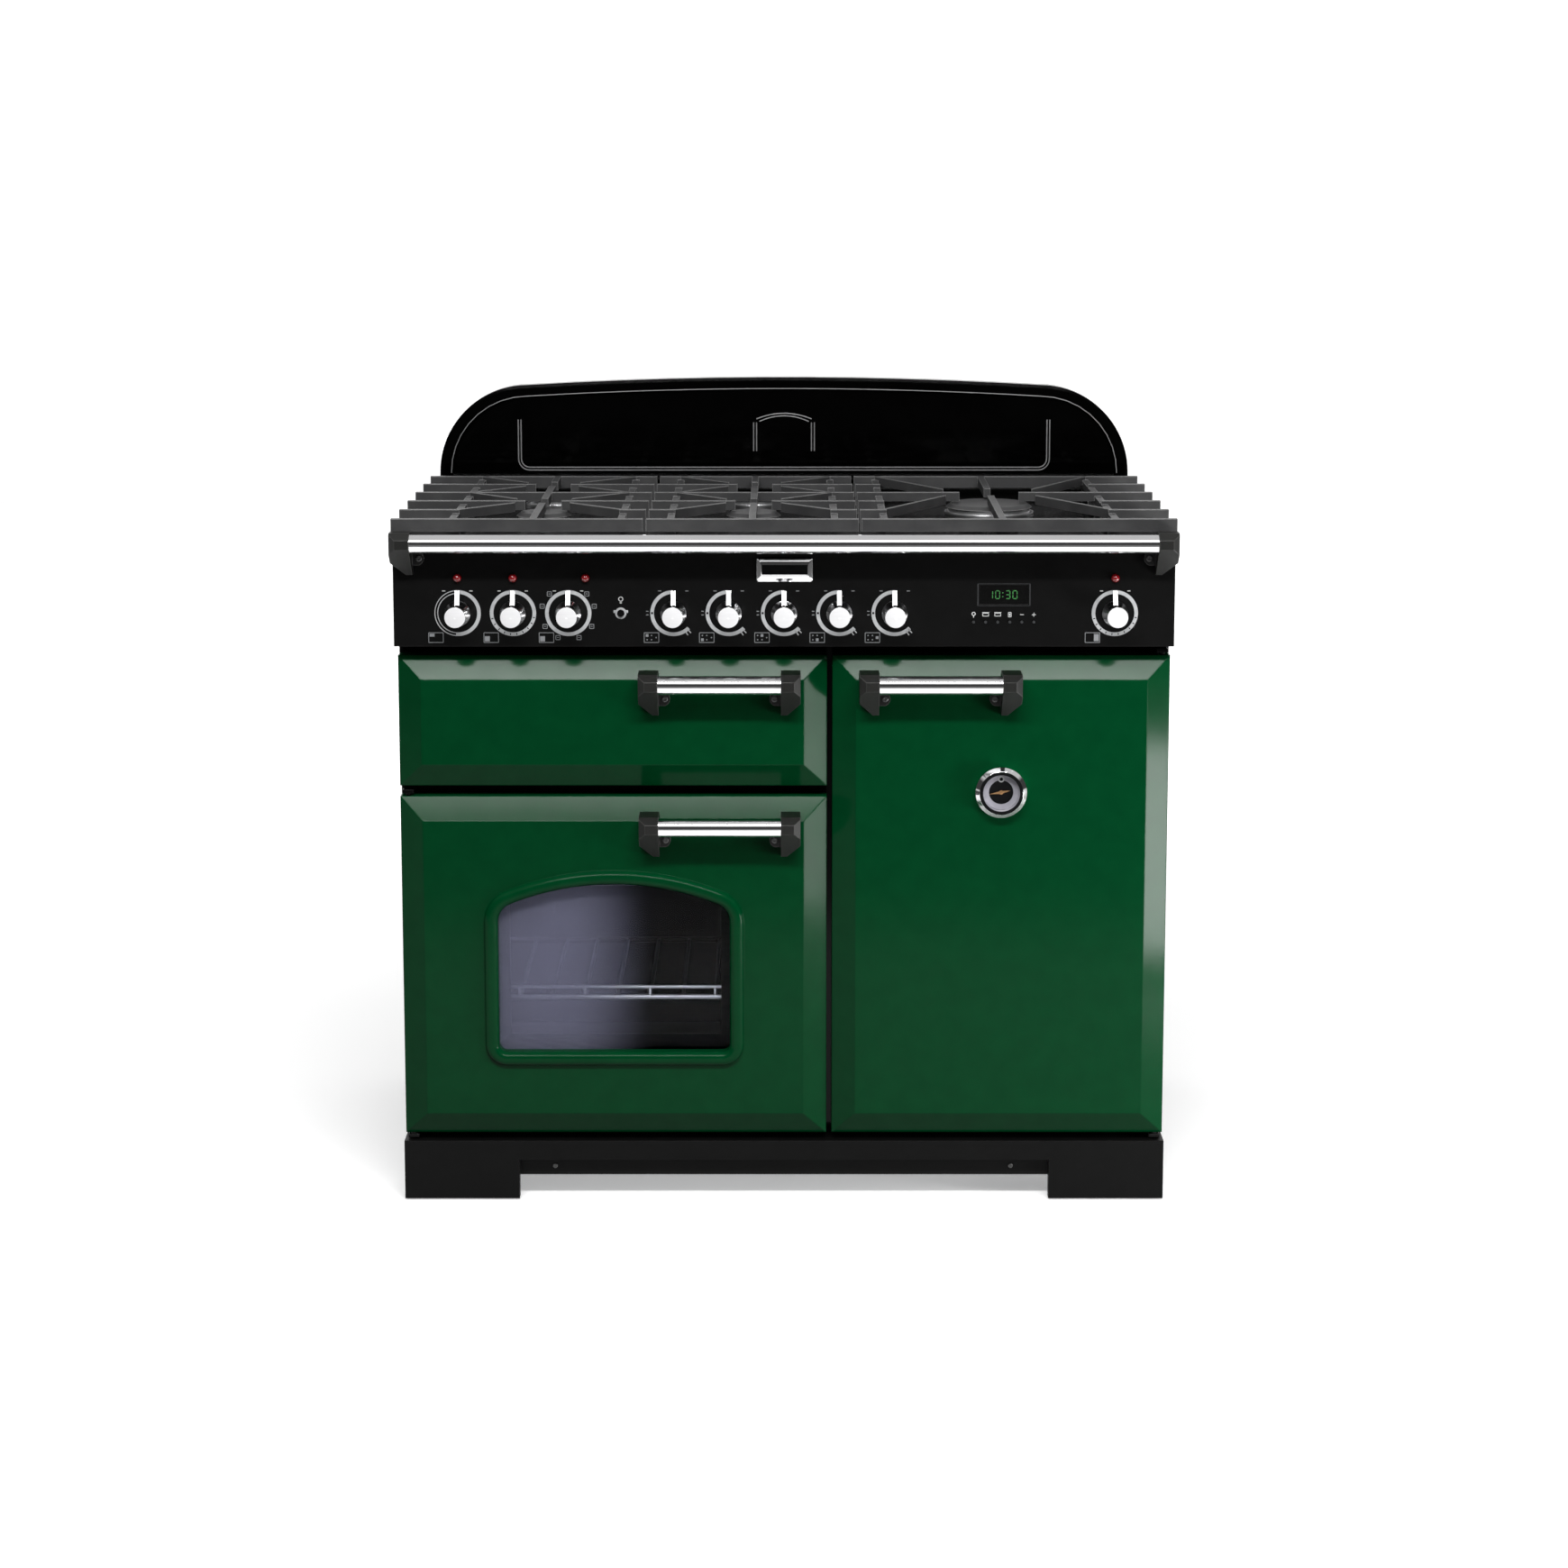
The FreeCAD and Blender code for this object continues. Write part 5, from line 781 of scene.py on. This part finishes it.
# %% Clock signs
SIGN_RISE = 9.5 * MM
sign_z = button_z + SIGN_RISE
bell_x, start_x, end_x, manual_x, minus_x, plus_x = button_x
bell_middle = Vector((bell_x, PANEL_FRONT, sign_z + 1 * MM))
clapper = (bell_x, PANEL_FRONT - PRINT / 2, sign_z - 2.6 * MM)
bell = [
    spun_band(bell_middle, 1.6 * MM, 2.5 * MM, 0, 360, -PRINT, 0),
    slab(clapper, (0.8 * MM, PRINT, 2.4 * MM)),
]
settle(join(bell), "sign_bell", white_ink, "cabinet")
for x, name in ((start_x, "sign_pot_start"), (end_x, "sign_pot_end")):
    lid = (x, sign_z + 2.8 * MM, 9 * MM, LINE)
    printed(outline(x, sign_z, 7.5 * MM, 3.6 * MM) + [lid], white_ink, name)
hand = (manual_x, sign_z, 1.2 * MM, 3 * MM)
printed(outline(manual_x, sign_z, 3.4 * MM, 5.6 * MM) + [hand], white_ink, "sign_manual")
printed([(minus_x, sign_z, 5 * MM, LINE)], white_ink, "sign_minus")
printed([(plus_x, sign_z, 5 * MM, LINE), (plus_x, sign_z, LINE, 5 * MM)], white_ink, "sign_plus")
print("clock signs:", len(button_x))

# %% Light button's collar and sign
COLLAR_INNER = 4.7 * MM
COLLAR_OUTER = 7.2 * MM
COLLAR_PROUD = 1.2 * MM
EAR_SIDE = 7.6 * MM
EAR_SIZE = (3.2 * MM, COLLAR_PROUD, 3.6 * MM)
BULB_RISE = 18 * MM
light_low, light_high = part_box("light_button")
light = Vector(((light_low.x + light_high.x) / 2, PANEL_FRONT, (light_low.z + light_high.z) / 2))
collar = spun_band(light, COLLAR_INNER, COLLAR_OUTER, 0, 360, -COLLAR_PROUD, 0)
ears = [
    slab(light + Vector((side, -COLLAR_PROUD / 2, 2 * MM)), EAR_SIZE, 0.4 * MM)
    for side in (-EAR_SIDE, EAR_SIDE)
]
settle(join([collar] + ears), "light_button_collar", silver_ink, "cabinet")
bulb = light + Vector((0, 0, BULB_RISE))
bulb_pieces = [spun_band(bulb, 2.2 * MM, 3.1 * MM, 0, 360, -PRINT, 0)]
for drop in (4.0 * MM, 5.4 * MM):
    thread = (bulb.x, PANEL_FRONT - PRINT / 2, bulb.z - drop)
    bulb_pieces.append(slab(thread, (2.6 * MM, PRINT, 0.7 * MM)))
settle(join(bulb_pieces), "sign_light", white_ink, "cabinet")
print("light button at", [round(value, 3) for value in light])

# %% [markdown]
# ## Panel plate
# A small bare plate with a sloping chrome frame sits in the middle of the panel just under the rail.
# A bevel modifier would slope all its sides alike. The real frame is deeper at its top and bottom,
# so the front face is inset, stretched to the size of the flat field and pulled forward.


# %% Panel plate
def cushion_plate(middle, wide, tall, corner, edge, rise, field):
    """A plate with rounded corners whose frame slopes up to a flat field, lying against middle."""
    clear_selection()
    bpy.ops.mesh.primitive_plane_add(size=1, rotation=(math.pi / 2, 0, 0))
    piece = bpy.context.active_object
    piece.scale = (wide, tall, 1)
    piece.location = middle
    bpy.ops.object.transform_apply(location=True, rotation=True, scale=True)
    bpy.ops.object.mode_set(mode="EDIT")
    bpy.ops.mesh.select_all(action="SELECT")
    bpy.ops.mesh.bevel(offset=corner, segments=6, affect="VERTICES")
    bpy.ops.mesh.extrude_region_move(TRANSFORM_OT_translate={"value": (0, -edge, 0)})
    if field:
        bpy.ops.mesh.inset(thickness=corner)
        across, up = field
        stretch = (across / (wide - 2 * corner), 1, up / (tall - 2 * corner))
        bpy.ops.transform.resize(value=stretch)
        bpy.ops.transform.translate(value=(0, -rise, 0))
    bpy.ops.object.mode_set(mode="OBJECT")
    return piece


panel_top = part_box("control_panel")[1].z
PLATE = Vector((0.8 * MM, PANEL_FRONT, panel_top - 36 * MM))
PLATE_WIDE = 71 * MM
PLATE_TALL = 31.5 * MM
PLATE_FIELD = (60 * MM, 14 * MM)
PLATE_EDGE = 1.6 * MM
PLATE_RISE = 2.6 * MM
INLAY_WIDE = 58.5 * MM
INLAY_TALL = 12.6 * MM
INLAY_EDGE = 0.5 * MM
INLAY_SUNK = 0.2 * MM
frame_piece = cushion_plate(PLATE, PLATE_WIDE, PLATE_TALL, 3 * MM, PLATE_EDGE, PLATE_RISE, PLATE_FIELD)
settle(soften(frame_piece, 0.5 * MM, 2), "panel_plate_frame", chrome, "cabinet")
inlay_place = PLATE - Vector((0, PLATE_EDGE + PLATE_RISE - INLAY_SUNK, 0))
inlay = cushion_plate(inlay_place, INLAY_WIDE, INLAY_TALL, 1 * MM, INLAY_EDGE, 0, None)
settle(inlay, "panel_plate_field", dark_field, "cabinet")
print("panel plate:", PLATE_WIDE, "by", PLATE_TALL)

# %% [markdown]
# ## Splashback's pressed lines
# The splashback carries a bare plaque with an arched top, a pressed double line round its field and
# a painted highlight along its rim. Pressed lines could be cut into the sheet by a boolean, which
# leaves a poor mesh on a solid node. Thin round wires half sunk in the face stand in for them, and
# their pale grey is a painted highlight where the pressings catch the light.

# %% Plaque
splash_low, splash_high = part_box("splashback")
SPLASH_RECESS = 5 * MM
splash_face = splash_low.y + SPLASH_RECESS
PRESS = 0.9 * MM
PLAQUE_LOW = splash_low.z + 39 * MM
PLAQUE_HIGH = PLAQUE_LOW + 41 * MM
ARCH_GAP = 5 * MM
ARCH_RISE = 8 * MM
ARCH_INSET = 4 * MM
PLAQUE_LINES = ((43.4 * MM, 0), (39.2 * MM, 3.6 * MM))
ARCH_SHARES = [step / 8 - 1 for step in range(17)]
plaque = []
for reach, drop in PLAQUE_LINES:
    for x in (-reach, reach):
        plaque.append(wire([(x, splash_face, PLAQUE_LOW), (x, splash_face, PLAQUE_HIGH)], PRESS))
    spring = PLAQUE_HIGH + ARCH_GAP - drop
    arch = [
        (share * (reach - ARCH_INSET), splash_face, spring + ARCH_RISE * (1 - share * share))
        for share in ARCH_SHARES
    ]
    plaque.append(wire(arch, PRESS))
print("plaque lines:", len(plaque))
settle(join(plaque), "splash_plaque", trim_and_highlight_grey, "cabinet")

# %% Lines round the field and along the rim
LINE_HALF = 380 * MM
LINE_LOW = splash_low.z + 11.5 * MM
LINE_HIGH = splash_low.z + 84 * MM
LINE_CORNER = 16 * MM
CORNER_STEPS = [math.radians(15 * step) for step in range(7)]


def mirrored(points):
    """Points on the left half of a line, and their mirror image on the right in reverse order."""
    return points + [(-x, y, z) for x, y, z in reversed(points)]


for name, shrink in (("outer", 0), ("inner", 4 * MM)):
    low = LINE_LOW + shrink
    reach = LINE_HALF - shrink
    corner = LINE_CORNER - shrink
    points = [(-reach, splash_face, LINE_HIGH)]
    points += [
        (-reach + corner * (1 - math.cos(angle)), splash_face, low + corner * (1 - math.sin(angle)))
        for angle in CORNER_STEPS
    ]
    # painted highlight: pale grey wires where the pressed lines catch the light
    settle(wire(mirrored(points), PRESS), "splash_line_" + name, trim_and_highlight_grey, "cabinet")

SPLASH_RIM = 16 * MM
SPLASH_SIDE = 8 * MM
SPLASH_CORNER = 126 * MM
RIM_WIRE = 0.7 * MM
BEND_STEPS = [math.radians(180 - 10 * step) for step in range(10)]
flat = splash_high.x - SPLASH_CORNER
radius = SPLASH_CORNER - SPLASH_RIM
side_z = splash_low.z + SPLASH_SIDE
crown = splash_high.z - side_z - SPLASH_CORNER
bend = [
    (-flat + radius * math.cos(angle), splash_low.y, side_z + radius * math.sin(angle))
    for angle in BEND_STEPS
]
top = [
    (share * flat, splash_low.y, side_z + radius + crown * (1 - share * share))
    for share in ARCH_SHARES[1:-1]
]
points = bend + top + [(-x, y, z) for x, y, z in reversed(bend)]
# painted highlight: a pale grey wire along the rim's inner edge
settle(wire(points, RIM_WIRE), "splash_rim_highlight", trim_and_highlight_grey, "cabinet")
print("points along the rim:", len(points))

# %% [markdown]
# ## Screws
# The lugs of the rail and handle brackets each take a screw, and two more hold the strip under the
# plinth. One low head is modelled, with a cross cut into it by two small bars, and then copied. A
# normal map could fake the cross, but a real cut throws its own shadow.


# %% Cross-head screws
def cross_screw(radius):
    """A low head facing the front with a cross pressed into it, centred on the origin."""
    clear_selection()
    facing = (math.pi / 2, 0, 0)
    bpy.ops.mesh.primitive_cylinder_add(vertices=32, radius=radius, depth=radius * 0.6, rotation=facing)
    head = soften(bpy.context.active_object, radius * 0.22)
    for wide, tall in ((1.2, 0.26), (0.26, 1.2)):
        cutter = slab((0, -radius * 0.3, 0), (radius * wide, radius * 0.4, radius * tall))
        clear_selection()
        head.select_set(True)
        bpy.context.view_layer.objects.active = head
        groove = head.modifiers.new("cross", "BOOLEAN")
        groove.operation = "DIFFERENCE"
        groove.object = cutter
        groove.solver = "EXACT"
        bpy.ops.object.modifier_apply(modifier=groove.name)
        bpy.data.objects.remove(cutter)
    return head


def screws_at(places, radius, name, body):
    """Copies of one screw, joined into a piece."""
    settle(join(copies_at(cross_screw(radius), places)), name, dark_screw, body)


RAIL_LOBE = 34 * MM
HANDLE_LOBE = 33 * MM
LOBE_THICK = 7 * MM
LOBE_DROP = 22 * MM
SCREW_PROUD = 0.4 * MM
BRACKET_SCREW = 4.0 * MM
PLINTH_SCREW = 3.2 * MM


def bracket_screws(node, bar, inset, back_y, body):
    """A screw in the lug of each bracket of a bar."""
    low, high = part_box(node)
    bar_low, bar_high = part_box(bar)
    level = (bar_low.z + bar_high.z) / 2 - LOBE_DROP
    depth = back_y - LOBE_THICK - SCREW_PROUD
    places = [(low.x + inset, depth, level), (high.x - inset, depth, level)]
    screws_at(places, BRACKET_SCREW, node + "_screws", body)


bracket_screws("rail_brackets", "front_rail", RAIL_LOBE, PANEL_FRONT, "cabinet")
for door in ("grill", "main", "tall"):
    handle = door + "_door_handle"
    mount_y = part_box(handle + "_brackets")[1].y
    bracket_screws(handle + "_brackets", handle + "_bar", HANDLE_LOBE, mount_y, door + "_door")
STRIP_SETBACK = 14 * MM
strip_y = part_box("plinth")[0].y + STRIP_SETBACK - 0.6 * MM
plinth_places = [(-300 * MM, strip_y, 42 * MM), (297 * MM, strip_y, 42 * MM)]
screws_at(plinth_places, PLINTH_SCREW, "plinth_screws", "cabinet")
print("screws on the rail, three handles and the plinth")

# %% [markdown]
# ## Gauge dial
# The gauge on the tall door has a plain silver ring about a dark middle and a small index at the
# top. A dark ring on the flat front of its chrome bezel is a painted dark reflection. The needle and
# its hub are solid nodes, so the rings leave room for them to turn. All five are bands spun about the
# gauge's axis, from one table.

# %% Gauge rings and index
DIAL_DEPTH = 9 * MM
SCALE_INNER = 15.6 * MM
SCALE_OUTER = 22.8 * MM
HUB_HOLE = 1.4 * MM
BEZEL_INNER = 23.6 * MM
BEZEL_FLAT = 28 * MM
INDEX_RISE = 16.9 * MM
INDEX_HOLE = 0.1 * MM
INDEX_DOT = 2.3 * MM
INDEX_RING = 4.0 * MM
gauge_low, gauge_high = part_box("gauge_case")
bezel = Vector(((gauge_low.x + gauge_high.x) / 2, gauge_low.y, (gauge_low.z + gauge_high.z) / 2))
gauge = bezel + Vector((0, DIAL_DEPTH, 0))
index = gauge + Vector((0, 0, INDEX_RISE))
GAUGE_RINGS = (
    ("gauge_scale", gauge, SCALE_INNER, SCALE_OUTER, 0.35 * MM, dial_silver),
    ("gauge_field", gauge, HUB_HOLE, SCALE_INNER, 0.2 * MM, dark_field),
    # painted reflection: a dark ring on the chrome bezel's flat front
    ("gauge_surround", bezel, BEZEL_INNER, BEZEL_FLAT, 0.3 * MM, dark_field),
    ("gauge_index", index, INDEX_DOT, INDEX_RING, 0.5 * MM, silver_ink),
    ("gauge_index_dot", index, INDEX_HOLE, INDEX_DOT, 0.5 * MM, dark_field),
)
for name, middle, inner, outer, proud, finish in GAUGE_RINGS:
    settle(spun_band(middle, inner, outer, 0, 360, -proud, 0), name, finish, "tall_door")
print("gauge rings:", len(GAUGE_RINGS))

# %% [markdown]
# ## Floor and backdrop
# The cooker stands on white paper that runs up a wall behind it. Brighter lamps could turn the paper
# white, but they would bleach the cooker too. So the paper glows a little for rays that come from
# the camera, from a mirror or through glass, and is dull for all others. Well in front of the cooker
# it turns grey, which chrome mirrors as the dark band along each bar.


# %% Floor and backdrop
PAPER_GLOW = 0.28
PAPER_DARK = (0.1, 0.1, 0.1, 1)
PAPER_FRONT = (0.25, 0.25, 0.25, 1)
WHITE_FROM = -1.45
GREY_FROM = -2.1
FLOOR_PLACE = (0, -7.5, 0)
FLOOR_SIZE = (60, 30, 1)
BACKDROP_TALL = 8


def stage_finish():
    """Paper that is white where it is seen, grey far in front, and throws little light back."""
    finish = Finish("studio_white", Roughness=0.9, Specular_IOR_Level=0.0, Emission_Strength=PAPER_GLOW)
    paper = finish.blend(finish.noise(3), (0.9, 0.9, 0.9, 1), (0.94, 0.94, 0.94, 1))
    path = finish.node("ShaderNodeLightPath", {}, {}).outputs
    seen, in_mirror, through = (
        Signal(finish, path[name]) for name in ("Is Camera Ray", "Is Glossy Ray", "Is Transmission Ray")
    )
    view = seen + in_mirror + through
    near = finish.along(1, GREY_FROM, WHITE_FROM, 0.0, 1.0)
    paper = finish.blend(near, PAPER_FRONT, paper)
    glow = finish.blend(view * near, (0, 0, 0, 1), (1, 1, 1, 1))
    return finish.feed(Base_Color=finish.blend(view, PAPER_DARK, paper), Emission_Color=glow)


clear_selection()
bpy.ops.mesh.primitive_plane_add(size=1, location=FLOOR_PLACE)
floor = bpy.context.active_object
floor.scale = FLOOR_SIZE
bpy.ops.object.transform_apply(location=True, rotation=True, scale=True)
bpy.ops.object.mode_set(mode="EDIT")
bpy.ops.mesh.select_mode(type="EDGE")
bpy.ops.mesh.select_all(action="DESELECT")
bpy.ops.object.mode_set(mode="OBJECT")
for edge in floor.data.edges:
    edge.select = all(floor.data.vertices[corner].co.y > 0 for corner in edge.vertices)
bpy.ops.object.mode_set(mode="EDIT")
bpy.ops.mesh.extrude_region_move(TRANSFORM_OT_translate={"value": (0, 0, BACKDROP_TALL)})
bpy.ops.object.mode_set(mode="OBJECT")
floor.name = "studio_floor"
floor.data.materials.append(stage_finish())
print("floor and backdrop:", len(floor.data.polygons), "faces")

# %% [markdown]
# ## Lamps and surroundings
# A strip high in front lights the upper bevels, and a low box and strip at the right light the
# right-hand ones. A pale card over the camera and a dome that is dark up to a third of the way to the
# zenith leave each chrome bar a dark band between two pale ones. A lamp behind brightens the backdrop
# alone. Point lamps would be simpler, but chrome and enamel would show them as dots.


# %% Softboxes
def softbox(name, place, target, wide, tall, power):
    """A rectangular lamp that faces its target and that the camera doesn't see."""
    bpy.ops.object.light_add(type="AREA", location=place)
    lamp = bpy.context.active_object
    lamp.name = name
    lamp.data.shape = "RECTANGLE"
    lamp.data.size = wide
    lamp.data.size_y = tall
    lamp.data.energy = power
    lamp.rotation_euler = (Vector(target) - Vector(place)).to_track_quat("-Z", "Y").to_euler()
    lamp.visible_camera = False


SOFTBOXES = (
    ("top_strip", (0, -2.305, 2.74), (0, -0.2, 0.5), 2.4, 0.22, 92),
    ("right_box", (1.45, -0.76, 0.23), (0.48, -0.26, 0.4), 0.26, 0.34, 12),
    ("right_strip", (1.44, -1.2, 0.22), (0.05, -0.26, 0.5), 0.14, 0.5, 5),
    ("front_card", (0, -4.4, 4.5), (0, -0.3, 0.8), 5, 2.4, 46),
    ("backdrop_light", (0, 3.2, 4.5), (0, 6.5, 2.0), 8, 2, 440),
)
for name, place, target, wide, tall, power in SOFTBOXES:
    softbox(name, place, target, wide, tall, power)
print("softboxes:", len(SOFTBOXES))


# %% Dome
class Dome(Finish):
    """The world's nodes, added by the same method as a finish's."""

    def __init__(self, name):
        self.world = bpy.data.worlds.new(name)
        self.world.use_nodes = True
        self.tree = self.world.node_tree


DOME_STOPS = ((0.40, 0.05), (0.56, 0.6))
dome = Dome("studio_dome")
direction = Signal(dome, dome.node("ShaderNodeTexCoord", {}, {}).outputs["Generated"])
height = Signal(dome, dome.node("ShaderNodeSeparateXYZ", {}, {0: direction}).outputs["Z"])
level = dome.node("ShaderNodeValToRGB", {"stops": DOME_STOPS}, {0: height}).outputs[0]
dome.tree.links.new(level, dome.tree.nodes["Background"].inputs["Color"])
bpy.context.scene.world = dome.world
print("dome:", DOME_STOPS)

# %% [markdown]
# ## Camera
# A long lens from a little above the hob keeps the upright edges nearly parallel. The picture could
# be framed by tilting the camera further, which would make the sides lean, so part of the drop is a
# shift of the lens.

# %% Camera
PITCH = 8.83
bpy.ops.object.camera_add(location=(0, -4.517, 1.421), rotation=(math.radians(90 - PITCH), 0, 0))
camera = bpy.context.active_object
camera.data.sensor_width = 36
camera.data.lens = 77.6
camera.data.shift_y = -0.1
bpy.context.scene.camera = camera
bpy.context.scene.view_settings.view_transform = "Standard"
print("camera:", camera.data.lens, "mm lens,", PITCH, "degrees down")
